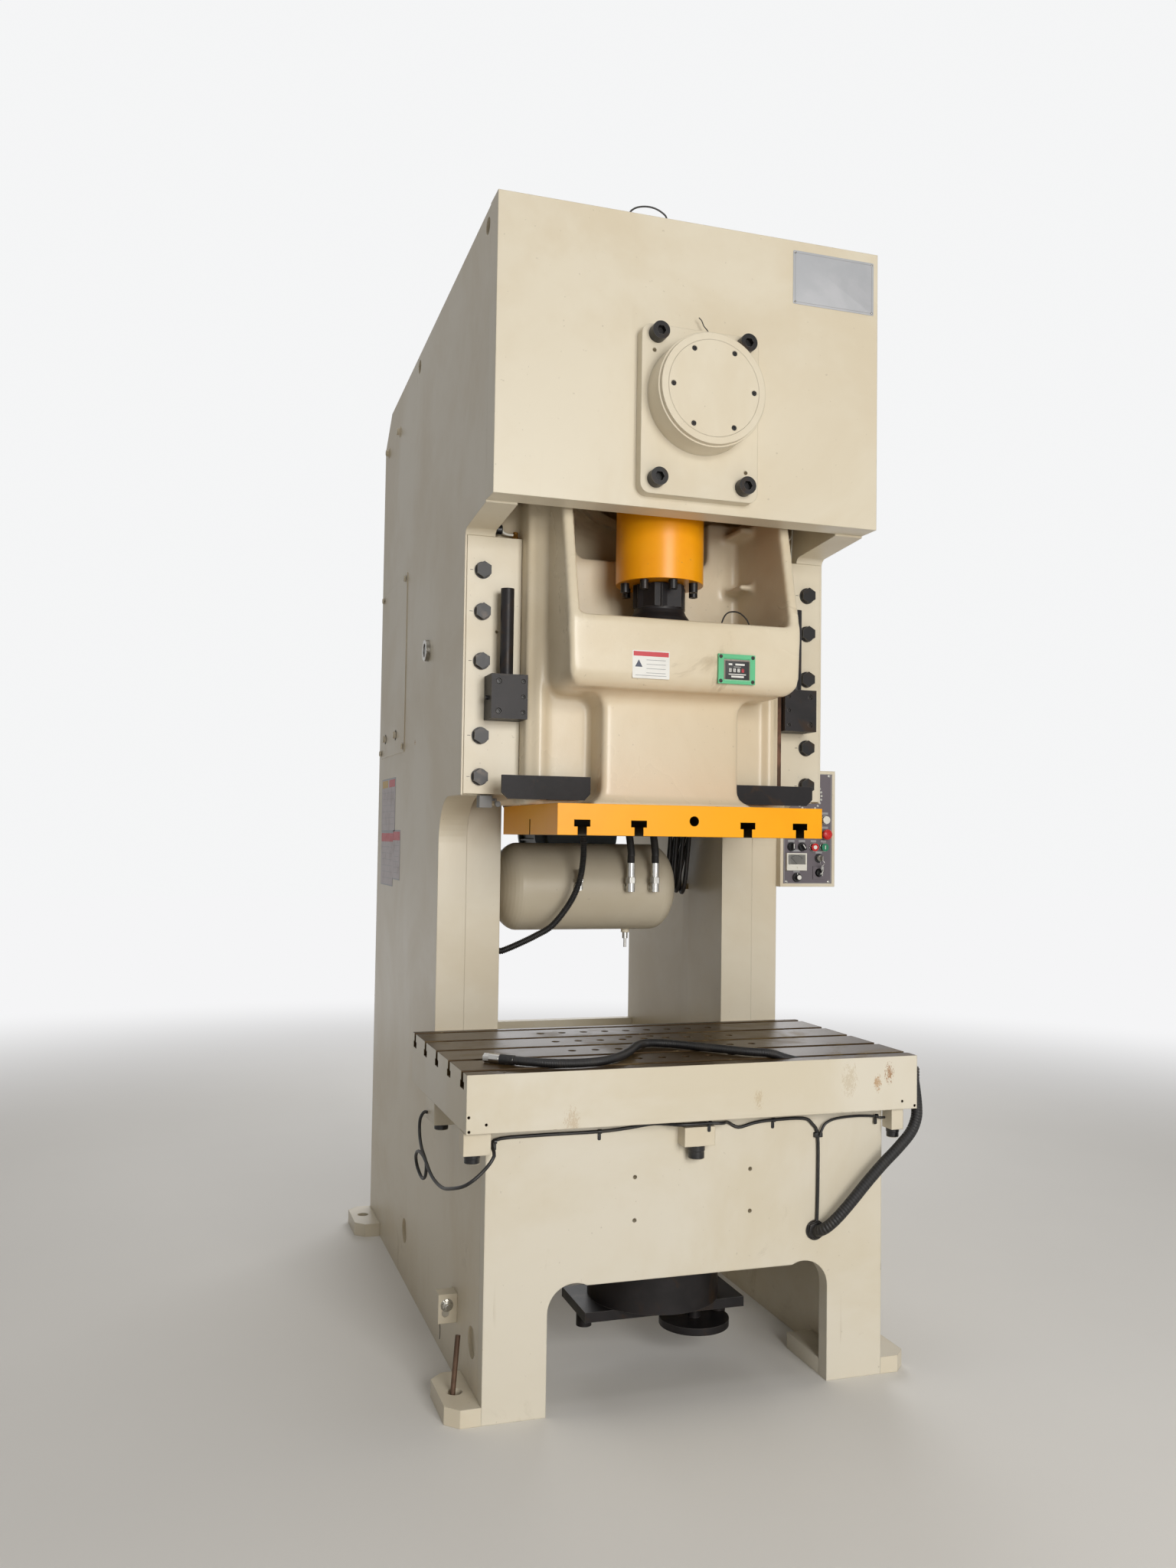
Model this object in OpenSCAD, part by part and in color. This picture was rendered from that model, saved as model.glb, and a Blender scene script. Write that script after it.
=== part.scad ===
// Open-front mechanical stamping press, single point, about 200 tonnes
// Millimetres, +Z up. Each module is drawn from the slide's centre line;
// the last lines move it so that the origin lies on the floor, midway between the anchor holes.

/* [Frame] */
// Width over the two side plates
frame_w = 1250; // [1200:10:1350]
// Thickness of a side plate
side_t = 97; // [80:1:100]
// Height of the head at its front face
head_top = 3500; // [3450:10:3600]
// Height of the underside of the head
head_low = 2611; // [2605:1:2620]
// Distance of the head's front face in front of the slide centre
head_reach = 284; // [275:1:300]
// Thickness of the head's front plate
head_t = 90; // [70:1:95]
// Slope of the top edge towards the back
top_slope = 0.05; // [0.03:0.005:0.06]
// Distance of the frame's back edge behind the slide centre
frame_back = 1690; // [1680:10:1760]
// Distance of the throat's back wall behind the slide centre
throat_depth = 400; // [395:5:420]
// Radius at the top of the throat
throat_r = 150; // [120:5:165]
// Thickness of cross plates and bearing walls
wall_t = 100; // [70:5:100]
// Distance between the two column boxes
column_gap = 820; // [780:10:840]

/* [Bed] */
// Height of the bed's machined top
bed_top = 815; // [800:5:830]
// Distance of the bed's front face in front of the slide centre
bed_reach = 332; // [325:1:345]
// Thickness of the bed's front and back plates
bed_t = 50; // [40:1:60]
// Thickness of the bed table under the bolster
table_t = 80; // [60:5:90]
// Height of the arch in the front plate
arch_z = 356; // [330:1:370]
// Half width of the arch between the legs
arch_half = 440; // [420:1:450]
// Radius of the arch corners
arch_r = 80; // [60:1:90]
// Thickness of a foot plate
foot_t = 50; // [40:1:60]
// How far a foot plate stands out from the side plate
foot_out = 97; // [80:1:110]
// Length of a foot plate
foot_len = 262; // [240:1:280]
// Anchor hole radius
anchor_r = 22; // [16:1:24]
// Anchor hole distance from the foot's outer end
anchor_in = 122; // [110:1:140]

/* [Bolster] */
// Bolster length, left to right
bolster_w = 1400; // [1380:10:1440]
// Bolster depth, front to back
bolster_d = 800; // [780:10:800]
// Bolster thickness
bolster_t = 160; // [150:5:180]
// Bolster centre behind the slide centre
bolster_y = -10; // [-12:1:-6]
// Middle T-slot of the bolster behind the slide centre
slot_row_y = 0; // [-5:1:5]
// Radius of a cushion pin hole
pin_hole_r = 13; // [10:1:15]
// T-slot mouth width
slot_w = 28; // [26:1:30]
// T-slot head width
slot_head_w = 49; // [46:1:50]
// T-slot head height
slot_head_h = 20; // [18:1:22]
// Depth of a T-slot
slot_depth = 45; // [42:1:48]

/* [Slide] */
// Slide plate width
plate_w = 850; // [830:10:860]
// Slide plate depth
plate_d = 620; // [600:10:630]
// Slide plate thickness
plate_t = 92; // [85:1:94]
// Height of the slide plate's underside with the slide up
plate_z = 1630; // [1628:1:1640]
// Distances of the slide plate's T-slots from the centre
plate_slots = [-350, -175, 175, 350];
// Shank hole radius
shank_r = 35; // [25:1:38]
// Shank hole depth
shank_depth = 80; // [70:1:84]
// Height of the top of the slide casting
slide_top = 2700; // [2680:5:2710]
// Height of the tub's rim
rim_z = 2288; // [2280:1:2290]
// Height of the tub's lower edge
tub_low = 2067; // [2060:1:2075]
// Distance of the tub's front in front of the slide centre
tub_reach = 255; // [250:1:260]
// Half width of the tub
tub_half = 380; // [375:1:380]
// How far the sides of the slide stand outside the tub
tub_inset = 60; // [58:1:62]
// Half width of the column under the tub
neck_half = 228; // [220:1:235]
// Distance of the column's front in front of the slide centre
neck_reach = 127; // [120:1:135]
// Wall thickness of the slide casting
cast_t = 36; // [32:1:40]
// Stroke of the slide
stroke = 200; // [160:10:200]

/* [Guides] */
// Front face of the gibs behind the slide centre
gib_y = 71; // [68:1:72]
// Thickness of a front gib
gib_t = 50; // [45:1:52]
// Play between a gib and the side of the slide
gib_play = 1; // [0.5:0.5:2]
// Outer edge of a front gib from the centre
gib_out = 618; // [616:1:620]
// Lower end of the gibs
gib_z0 = 1755; // [1752:1:1760]
// Upper end of the gibs
gib_z1 = 2567; // [2560:1:2567]
// Gap between slide and gibs
slide_gap = 0.2; // [0.1:0.05:0.3]
// Heights of the gib bolts
gib_bolt_z = [1808, 1937, 2171, 2327, 2458];
// Distance of the gib bolts from the centre
gib_bolt_x = 567; // [565:1:570]

/* [Drive] */
// Height of the crankshaft
crank_z = 2944; // [2940:1:2950]
// Crank journal radius
journal_r = 90; // [80:1:92]
// Crank pin radius
pin_r = 80; // [70:1:82]
// Bearing bush wall
bush_t = 20; // [15:1:22]
// Bearing running clearance, radial
run_gap = 0.06; // [0.03:0.01:0.09]
// Length of the connection from crank pin to ball
rod_length = 800; // [795:1:805]
// Radius of the connection's cylinder
rod_r = 141; // [138:1:142]
// Height of the cylinder's lower end with the slide up
rod_low = 2437; // [2430:1:2445]
// Radius of the adjusting screw
screw_r = 62; // [55:1:65]
// Height of the cylinder's upper end with the slide up
rod_top = 2690; // [2670:5:2695]
// Radius of the ball
ball_r = 92; // [88:1:94]
// Gear module
gear_m = 14; // [12:1:14]
// Teeth on the main gear
gear_teeth = 60; // [58:1:60]
// Teeth on the pinion
pinion_teeth = 15; // [15:1:16]
// Flywheel radius
flywheel_r = 480; // [440:5:485]
// Flywheel rim width
flywheel_w = 180; // [160:5:190]
// Motor pulley radius
pulley_r = 90; // [80:1:95]
// Height of the motor shaft
motor_z = 1640; // [1630:1:1650]

/* [Air] */
// Radius of the air tank
tank_r = 155; // [145:1:156]
// Height of the air tank's axis
tank_z = 1447; // [1440:1:1450]
// Distance of the air tank behind the slide centre
tank_y = 600; // [595:1:605]
// Radius of a tank hose
tank_hose_r = 13; // [10:1:14]

/* [Controls] */
// Control box width
panel_w = 220; // [210:1:230]
// Control box depth
panel_d = 91; // [80:1:100]
// Control box lower edge
panel_z0 = 1456; // [1450:1:1460]
// Control box upper edge
panel_z1 = 1880; // [1875:1:1890]
// Button radius
button_r = 14; // [12:1:15]

/* [Hidden] */
$fn = 64;
cream = [0.86, 0.83, 0.74];
yellow = [0.95, 0.66, 0.05];
black = [0.09, 0.09, 0.1];
steel = [0.6, 0.6, 0.6];
grey = [0.42, 0.42, 0.45];
bronze = [0.7, 0.5, 0.25];
rubber = [0.05, 0.05, 0.05];

half_w = frame_w / 2;
side_in = half_w - side_t;
col_in = column_gap / 2;
rear_anchor_y = frame_back - anchor_in;
front_anchor_y = anchor_in - bed_reach;
anchor_mid_y = (rear_anchor_y + front_anchor_y) / 2;
anchor_x = half_w + foot_out / 2;
gib_back = gib_y + gib_t;
guide_t = 84;
rear_gib_y = gib_back + guide_t;
rear_gib_t = 60;
wall_y0 = rear_gib_y + rear_gib_t;
wall_y1 = wall_y0 + wall_t;
cover_t = 20;
drive_y0 = 1000;
drive_y1 = drive_y0 + 60;
shelf_z = motor_z - 190;
plate_top = plate_z + plate_t;
bolster_top = bed_top + bolster_t;
bolster_pitch = bolster_d * 7 / 32;
slide_half = tub_half + tub_inset;
gib_in = slide_half + gib_play;
stop_in = gib_in;
pin_z = crank_z + stroke / 2;
ball_z = pin_z - rod_length;
bush_r = journal_r + run_gap;
housing_r = bush_r + bush_t;
ring_r = 283;
spigot_r = 150;
boss_r = 165;
boss_y = -head_reach - 142;
flange_y = -head_reach - 40;
flange_screw_x = 142;
flange_screw_z = [2688, 3124];
gear_y0 = wall_y1 + 50;
gear_w = 120;
gear_distance = gear_m * (gear_teeth + pinion_teeth) / 2;
pinion_z = crank_z - gear_distance;
shaft_r = 60;
fly_y0 = 1180;
fly_y1 = fly_y0 + flywheel_w;
belt_y0 = fly_y0 + 30;
belt_count = 5;
belt_pitch = 25;
panel_x0 = half_w;
panel_y = throat_depth - 32;
panel_face_y = panel_y - 4;
fit = 0.3;
joint_gap = 0.02;

// Routes of the hoses and cables, points chosen by hand from the slide's centre line
conduit_path = [
    [-131, 311, 1676], [-131, 334, 1673], [-131, 348, 1656], [-131, 352, 1631], [-129, 356, 1555],
    [-139, 364, 1476], [-167, 376, 1402], [-223, 394, 1323], [-279, 408, 1286], [-342, 424, 1254],
    [-385, 436, 1235], [-398, 438, 1232], [-409.7, 438, 1232]];
sleeve_path = [
    [397, -333, 453], [398, -352, 455], [410, -374, 468], [440, -388, 498], [485, -394, 545],
    [535, -396, 598], [590, -398, 652], [640, -402, 698], [685, -400, 742], [711, -389, 780],
    [721, -376, 815], [723, -364, 860], [723, -350, 910], [723, -350, 930]];
hose_path = [
    [723, -350, 930.4], [723, -350, 935], [723, -350, 940], [716, -350, 955], [700, -350, 961], [650, -350, 961],
    [560, -350, 961], [460, -350, 961], [370, -350, 961], [325, -350, 964], [282, -350, 975],
    [240, -344, 988], [190, -312, 989], [140, -258, 989], [80, -190, 989], [15, -120, 989],
    [-35, -88, 989], [-75, -95, 989], [-115, -140, 989], [-160, -215, 989], [-215, -290, 989],
    [-275, -345, 989], [-340, -372, 989], [-405, -372, 989], [-460, -352, 989], [-505, -318, 989],
    [-535, -290, 989]];
cable_path = [
    [-700.3, 120, 768], [-712, 120, 768], [-722, 126, 745], [-722, 128, 700], [-724, 80, 668],
    [-722, 20, 640], [-722, 25, 600], [-722, 75, 580], [-728, 118, 600], [-738, 100, 640],
    [-740, 50, 668], [-736, -20, 665], [-730, -110, 632], [-722, -210, 626], [-718, -320, 650],
    [-694, -398, 678], [-650, -404, 712], [-618, -400, 752], [-606, -350, 782], [-485, -338, 786],
    [-294, -338, 786], [-200, -338, 792], [-126, -338, 799], [-62, -390, 803], [25, -390, 803],
    [66, -390, 801], [105, -338, 790], [140, -338, 774], [190, -338, 784], [244, -338, 789],
    [351, -338, 789], [384, -338, 770], [402, -338, 735], [404, -338, 620], [402, -338, 500],
    [400, -338, 480]];
cable_branch = [
    [404, -348, 735], [410, -348, 752], [424, -348, 772], [460, -346, 784], [530, -342, 787],
    [590, -344, 784], [608, -350, 780], [624.7, -350, 780]];

function unit(v) = v / norm(v);
function lerp(a, b, t) = a + (b - a) * t;
// One smooth point of a curve through four of its points
function spline(p, i, t) =
    let (n = len(p) - 1)
    let (a = p[max(i - 1, 0)], b = p[i], c = p[min(i + 1, n)], d = p[min(i + 2, n)])
    0.5 * (2 * b + (c - a) * t + (2 * a - 5 * b + 4 * c - d) * t * t
        + (3 * b - a - 3 * c + d) * t * t * t);
function smooth(p, k) = concat(
    [for (i = [0:len(p) - 2]) for (j = [0:k - 1]) spline(p, i, j / k)], [p[len(p) - 1]]);
function tangent(p, i) = unit(p[min(i + 1, len(p) - 1)] - p[max(i - 1, 0)]);
// Side directions carried along a path without twist
function frames(p, i = 0, s = [0, 0, 0]) =
    i >= len(p) ? [] :
    let (t = tangent(p, i))
    let (g = norm(s) > 0 ? s : (abs(t[2]) < 0.8 ? [0, 0, 1] : [0, 1, 0]))
    let (u = unit(g - t * (g * t)))
    concat([u], frames(p, i + 1, u));
function arc(cx, cy, r, a0, a1, n = 12) =
    [for (i = [0:n]) let (a = a0 + (a1 - a0) * i / n) [cx + r * cos(a), cy + r * sin(a)]];
function top_z(y) = head_top - top_slope * (y + head_reach);
function flip(p) = [for (i = [len(p) - 1:-1:0]) [-p[i][0], p[i][1]]];

module block(x0, x1, y0, y1, z0, z1) {
    translate([x0, y0, z0]) cube([x1 - x0, y1 - y0, z1 - z0]);
}

module both_sides() {
    children();
    mirror([1, 0, 0]) children();
}

module along_x(x0, x1) {
    translate([x0, 0, 0]) rotate([90, 0, 90]) linear_extrude(x1 - x0) children();
}

module along_y(y0, y1) {
    translate([0, y1, 0]) rotate([90, 0, 0]) linear_extrude(y1 - y0) children();
}

module rod_x(r, x0, x1, y, z) {
    translate([x0, y, z]) rotate([0, 90, 0]) cylinder(h = x1 - x0, r = r);
}

module rod_y(r, y0, y1, x, z) {
    translate([x, y1, z]) rotate([90, 0, 0]) cylinder(h = y1 - y0, r = r);
}

module rod_z(r, z0, z1, x, y) {
    translate([x, y, z0]) cylinder(h = z1 - z0, r = r);
}

// A flat slab with round corners
module slab(w, h, r) {
    square([w - 2 * r, h], center = true);
    square([w, h - 2 * r], center = true);
    for (sx = [-1, 1], sz = [-1, 1]) translate([sx * (w / 2 - r), sz * (h / 2 - r)]) circle(r);
}

// A round tube along a path, with eight sides
module tube(path, r) {
    side = 8;
    n = len(path);
    u = frames(path);
    points = [for (i = [0:n - 1]) let (t = tangent(path, i), v = cross(t, u[i]))
        for (k = [0:side - 1]) path[i] + r * (u[i] * cos(k * 45) + v * sin(k * 45))];
    walls = [for (i = [0:n - 2]) for (k = [0:side - 1]) let (m = (k + 1) % side)
        [i * side + k, (i + 1) * side + k, (i + 1) * side + m, i * side + m]];
    ends = [[for (k = [0:side - 1]) k], [for (k = [side - 1:-1:0]) (n - 1) * side + k]];
    polyhedron(points, concat(walls, ends), convexity = 10);
}

module side_outline() {
    top_y = frame_back - 145;
    polygon(concat(
        [[-bed_reach + bed_t, 0], [-bed_reach + bed_t, bed_top], [throat_depth, bed_top]],
        arc(throat_depth - throat_r, gib_z0 - 4 - throat_r, throat_r, 0, 90),
        [[gib_y + 3, gib_z0 - 4], [gib_y + 3, gib_z1 + 1]],
        arc(gib_y - 21, gib_z1 - 4, 24, 12, 84, 5),
        [[-head_reach + head_t, head_low - 6], [-head_reach + head_t, top_z(head_t - head_reach)],
         [top_y, top_z(top_y)], [frame_back, top_z(top_y) - 118], [frame_back, 0]]));
}

// Heights of the two joints between the plates of one side
function joint_z() = [bed_top, gib_z0 - 4 - throat_r];

module side_band(z0, z1) {
    intersection() {
        side_outline();
        translate([-bed_reach - 200, z0]) square([frame_back + bed_reach + 400, z1 - z0]);
    }
}

// Side plates, each flame-cut in three and butted together, with machined seats for the gibs
module side_plates() {
    z = [0, joint_z()[0], joint_z()[1], head_top + 50];
    color(cream) both_sides() for (i = [0:2]) side_plate(z[i] + (i > 0 ? joint_gap : 0), z[i + 1]);
}

module side_plate(z0, z1) {
    difference() {
        along_x(side_in, half_w) side_band(z0, z1);
        block(side_in - 1, gib_out + 0.5, gib_y - 1, gib_back, gib_z0 - 5, gib_z1 + 0.5);
        for (z = gib_bolt_z) rod_y(15.2, gib_back - 1, gib_back + 86, gib_bolt_x, z);
        rod_x(26, side_in - 1, half_w + 1, -163, 3445);
        rod_x(26, side_in - 1, half_w + 1, 919, 3394);
        rod_x(44, half_w - 12, half_w + 1, -200, 179);
        rod_x(44, half_w - 12, half_w + 1, 884, 178);
    }
}

// Front and top plates of the head
module head_plates() {
    color(cream) {
        difference() {
            block(-half_w, half_w, -head_reach, -head_reach + head_t, head_low, head_top);
            rod_y(spigot_r + 0.1, -head_reach - 1, head_t, 0, crank_z);
            for (x = [-1, 1], z = flange_screw_z)
                rod_y(18.2, -head_reach - 1, -head_reach + 60, x * flange_screw_x, z);
        }
        along_x(-side_in, side_in) polygon([
            [head_t - head_reach, top_z(head_t - head_reach)],
            [head_t - head_reach, top_z(head_t - head_reach) - cover_t],
            [frame_back - 145, top_z(frame_back - 145) - cover_t],
            [frame_back - 145, top_z(frame_back - 145)]]);
    }
}

// Bearing wall behind the slide, drive wall, motor shelf and tank saddles
module cross_walls() {
    wall_low = pinion_z - 179;
    color(cream) {
        difference() {
            union() {
                block(-side_in, side_in, wall_y0, wall_y1, wall_low, top_z(wall_y1) - cover_t);
                rod_y(ring_r, wall_y0 - 30, wall_y0, 0, crank_z);
            }
            rod_y(ring_r - 30, wall_y0 - 31, wall_y0 + 20, 0, crank_z);
            rod_y(housing_r, wall_y0 - 1, wall_y1 + 1, 0, crank_z);
            rod_y(shaft_r + run_gap, wall_y0 - 1, wall_y1 + 1, 0, pinion_z);
        }
        difference() {
            block(-side_in, side_in, drive_y0, drive_y1, pinion_z - 319, pinion_z + 341);
            rod_y(shaft_r + run_gap, drive_y0 - 1, drive_y1 + 1, 0, pinion_z);
        }
        block(-col_in - 60, col_in + 60, 780, 914, shelf_z - cover_t, shelf_z);
        block(-side_in, side_in, 914, fly_y0, shelf_z - cover_t, shelf_z);
        for (x = [-260, 140]) difference() {
            block(x, x + 30, tank_y + 60, 780, shelf_z - 80, shelf_z);
            rod_x(tank_r + fit, x - 1, x + 31, tank_y, tank_z);
        }
    }
}

// Inner boxes that make the columns beside the throat
module column_boxes() {
    color(cream) both_sides() translate([0, 0, bed_top])
        linear_extrude(pinion_z - 189 - bed_top) polygon([
            [col_in, throat_depth], [side_in, throat_depth], [side_in, 914], [col_in + 60, 914],
            [col_in + 60, 712], [col_in, 712]]);
}

module arch_outline() {
    corner_x = arch_half - arch_r;
    corner_z = arch_z - arch_r + 8;
    polygon(concat(
        [[-half_w, 0], [-half_w, bed_top], [half_w, bed_top], [half_w, 0], [arch_half, 0]],
        arc(corner_x, corner_z, arch_r, 0, 118),
        flip(arc(corner_x, corner_z, arch_r, 0, 118)),
        [[-arch_half, 0]]));
}

// Front and back plates of the bed
module bed_plates() {
    color(cream) {
        difference() {
            along_y(-bed_reach, -bed_reach + bed_t) arch_outline();
            rod_y(24, -bed_reach - 1, bed_t - bed_reach + 1, 397, 453);
            for (x = [-182, 182], z = [525, 648])
                rod_y(6, -bed_reach - 1, -bed_reach + 25, x, z);
        }
        difference() {
            block(-side_in, side_in, frame_back - bed_t, frame_back, 0, bed_top);
            block(-arch_half, arch_half, frame_back - bed_t - 1, frame_back + 1, -1, arch_z);
        }
    }
}

// Table that carries the bolster, with the hole for the die cushion
module bed_table() {
    color(cream) {
        difference() {
            block(-side_in, side_in, bed_t - bed_reach, throat_depth, bed_top - table_t, bed_top);
            rod_z(215, bed_top - table_t - 1, bed_top + 1, 0, bolster_y);
        }
        both_sides() difference() {
            block(330, side_in, 340, throat_depth, 200, bed_top - table_t);
            block(col_in, side_in + 1, 339, throat_depth + 1, 199, 420);
        }
    }
}

module foot_outline() {
    corner = 38;
    polygon([
        [half_w, 0], [half_w + foot_out - corner, 0], [half_w + foot_out, corner],
        [half_w + foot_out, foot_len - corner], [half_w + foot_out - corner, foot_len],
        [half_w, foot_len]]);
}

// Four foot plates with their anchor holes
module mounting_feet() {
    color(cream) both_sides() {
        difference() {
            translate([0, -bed_reach, 0]) linear_extrude(foot_t) foot_outline();
            rod_z(anchor_r, -1, foot_t + 1, anchor_x, front_anchor_y);
        }
        difference() {
            translate([0, frame_back - foot_len, 0]) linear_extrude(foot_t) foot_outline();
            rod_z(anchor_r, -1, foot_t + 1, anchor_x, rear_anchor_y);
        }
    }
}

// A T-slot as a profile, its mouth at zero and its depth upward
module slot_profile() {
    translate([-slot_w / 2, -1]) square([slot_w, slot_depth - slot_head_h + 2]);
    translate([-slot_head_w / 2, slot_depth - slot_head_h]) square([slot_head_w, slot_head_h]);
}

module bolster() {
    front = bolster_y - bolster_d / 2;
    color(cream) difference() {
        block(-bolster_w / 2, bolster_w / 2, front, front + bolster_d, bed_top, bolster_top);
        for (k = [-2:2]) translate([0, slot_row_y + k * bolster_pitch, bolster_top])
            rotate([180, 0, 0]) along_x(-bolster_w / 2 - 1, bolster_w / 2 + 1) slot_profile();
        for (i = [-4:4], k = [-2:1])
            rod_z(pin_hole_r, bed_top - 1, bolster_top + 1, i * 75,
                slot_row_y + (k + 0.5) * bolster_pitch);
        for (k = [-1, 0], x = [-1, 1])
            rod_z(pin_hole_r, bed_top - 1, bolster_top + 1, x * 37.5,
                slot_row_y + (k + 0.5) * bolster_pitch + 45);
        for (p = [[-693, 861], [-644, 839], [-692, 822], [649, 839], [692, 824]])
            rod_y(4, front - 1, front + 20, p[0], p[1]);
    }
}

// Front gibs with their bolt holes, and the rear gibs behind the slide's guide flanges
module gibs() {
    color(cream) both_sides() {
        difference() {
            block(gib_in, gib_out, gib_y, gib_back, gib_z0, gib_z1);
            for (z = gib_bolt_z) rod_y(16.5, gib_y - 1, gib_back + 1, gib_bolt_x, z);
            rod_y(5, gib_y - 1, gib_y + 20, gib_bolt_x - 48, 2266);
        }
        block(gib_in, side_in, rear_gib_y, rear_gib_y + rear_gib_t, gib_z0, gib_z1);
    }
}

module gib_bolts() {
    color(black) both_sides() for (z = gib_bolt_z) {
        rod_y(15, gib_y - 1, gib_back + 80, gib_bolt_x, z);
        translate([gib_bolt_x, gib_y, z]) rotate([90, 0, 0]) {
            cylinder(h = 4, r = 27);
            rotate([0, 0, 30]) cylinder(h = 22, r = 26, $fn = 6);
        }
    }
}

// Cast housing of the front crank bearing: flange, boss and spigot
module bearing_housing() {
    low = flange_screw_z[0] - 44;
    high = flange_screw_z[1] + 29;
    color(cream) difference() {
        union() {
            along_y(flange_y, -head_reach)
                translate([0, (low + high) / 2]) slab(380, high - low, 30);
            rod_y(boss_r + 6, boss_y + 14, flange_y, 0, crank_z);
            rod_y(boss_r, boss_y, flange_y, 0, crank_z);
            rod_y(spigot_r, -head_reach, -head_reach + head_t, 0, crank_z);
        }
        rod_y(housing_r, boss_y + 15, 0, 0, crank_z);
        rod_y(144, boss_y - 1, boss_y + 15, 0, crank_z);
        for (x = [-1, 1], z = flange_screw_z)
            rod_y(20, flange_y - 1, -head_reach + 1, x * flange_screw_x, z);
        for (p = [[-150, 3075], [150, 2735]]) rod_y(6, flange_y - 1, flange_y + 25, p[0], p[1]);
    }
}

module bearing_cover() {
    color(cream) difference() {
        rod_y(143.7, boss_y, boss_y + 15, 0, crank_z);
        for (a = [0:60:300])
            rod_y(8, boss_y - 1, boss_y + 9, 128 * cos(a), crank_z + 128 * sin(a));
    }
}

module socket_screw(r, head, shank_r, shank) {
    difference() {
        cylinder(h = head, r = r);
        translate([0, 0, head * 0.45]) cylinder(h = head, r = r * 0.55, $fn = 6);
    }
    translate([0, 0, -shank]) cylinder(h = shank + head * 0.3, r = shank_r);
}

module bearing_screws() {
    color(black) {
        for (x = [-1, 1], z = flange_screw_z)
            translate([x * flange_screw_x, flange_y, z]) rotate([90, 0, 0])
                socket_screw(27, 36, 18, 90);
        for (a = [0:60:300])
            translate([128 * cos(a), boss_y + 9, crank_z + 128 * sin(a)]) rotate([90, 0, 0])
                socket_screw(7.7, 8, 4, 0);
    }
}

module crank_bushes() {
    color(bronze) {
        difference() {
            rod_y(housing_r - 0.02, boss_y + 30, -head_reach + head_t, 0, crank_z);
            rod_y(bush_r, boss_y + 20, 0, 0, crank_z);
        }
        difference() {
            rod_y(housing_r - 0.02, wall_y0 + 20, wall_y1, 0, crank_z);
            rod_y(bush_r, wall_y0 - 1, wall_y1 + 1, 0, crank_z);
        }
    }
}

// Crankshaft with two webs and its pin, which stands up when the slide is up
module crankshaft() {
    color(steel) {
        rod_y(journal_r, boss_y + 27, -145, 0, crank_z);
        rod_y(journal_r, 145, gear_y0 + gear_w, 0, crank_z);
        rod_y(pin_r, -90, 90, 0, pin_z);
        for (y = [-145, 87]) {
            rod_y(140, y, y + 58, 0, crank_z);
            rod_y(115, y, y + 58, 0, pin_z);
        }
    }
}

// A spur gear outline: straight-sided teeth, flat tips
module gear_outline(teeth, turn) {
    r = gear_m * teeth / 2;
    step = 360 / teeth;
    polygon([for (k = [0:teeth - 1])
        for (p = [[-0.30, -1.2], [-0.12, 0.9], [0.12, 0.9], [0.30, -1.2]])
            let (a = turn + (k + p[0]) * step, q = r + p[1] * gear_m) [q * cos(a), q * sin(a)]]);
}

// Main gear with its rim, web holes and hub
module main_gear() {
    mid = gear_y0 + gear_w / 2;
    color(steel) translate([0, 0, crank_z]) {
        difference() {
            along_y(gear_y0, gear_y0 + gear_w) gear_outline(gear_teeth, -90);
            rod_y(journal_r, gear_y0 - 1, gear_y0 + gear_w + 1, 0, 0);
            for (s = [-1, 1]) difference() {
                rod_y(355, mid + s * 60 - 30, mid + s * 60 + 30, 0, 0);
                rod_y(150, mid + s * 60 - 31, mid + s * 60 + 31, 0, 0);
            }
            for (a = [0:60:300])
                rod_y(62, gear_y0 - 1, gear_y0 + gear_w + 1, 250 * cos(a), 250 * sin(a));
        }
    }
}

// Pinion shaft with the pinion and the clutch and brake drum
module pinion_shaft() {
    color(steel) translate([0, 0, pinion_z]) {
        rod_y(shaft_r, wall_y0 + 2, fly_y1 + 40, 0, 0);
        along_y(gear_y0, gear_y0 + gear_w) gear_outline(pinion_teeth, 90 + 180 / pinion_teeth);
        rod_y(250, drive_y1 + 15, fly_y0 - 12, 0, 0);
        rod_y(110, drive_y1 + 5, drive_y1 + 15, 0, 0);
    }
}

// Flywheel with belt grooves, free on its shaft
module flywheel() {
    color(grey) translate([0, 0, pinion_z]) difference() {
        union() {
            rod_y(flywheel_r, fly_y0, fly_y1, 0, 0);
            rod_y(130, fly_y1, fly_y1 + 20, 0, 0);
        }
        rod_y(shaft_r + run_gap, fly_y0 - 1, fly_y1 + 21, 0, 0);
        for (y = [fly_y0 - 1, fly_y1 - 50]) difference() {
            rod_y(flywheel_r - 70, y, y + 51, 0, 0);
            rod_y(150, y - 1, y + 52, 0, 0);
        }
        for (k = [0:belt_count - 1]) translate([0, belt_y0 + k * belt_pitch, 0]) difference() {
            rod_y(flywheel_r + 1, 0, 18, 0, 0);
            rod_y(flywheel_r - 13, -1, 19, 0, 0);
        }
    }
}

module motor_pulley() {
    color(grey) translate([0, 0, motor_z]) difference() {
        union() {
            rod_y(pulley_r, belt_y0 - 12, belt_y0 + belt_count * belt_pitch + 5, 0, 0);
            rod_y(24, 1100, belt_y0, 0, 0);
        }
        for (k = [0:belt_count - 1]) translate([0, belt_y0 + k * belt_pitch, 0]) difference() {
            rod_y(pulley_r + 1, 0, 18, 0, 0);
            rod_y(pulley_r - 13, -1, 19, 0, 0);
        }
    }
}

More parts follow.
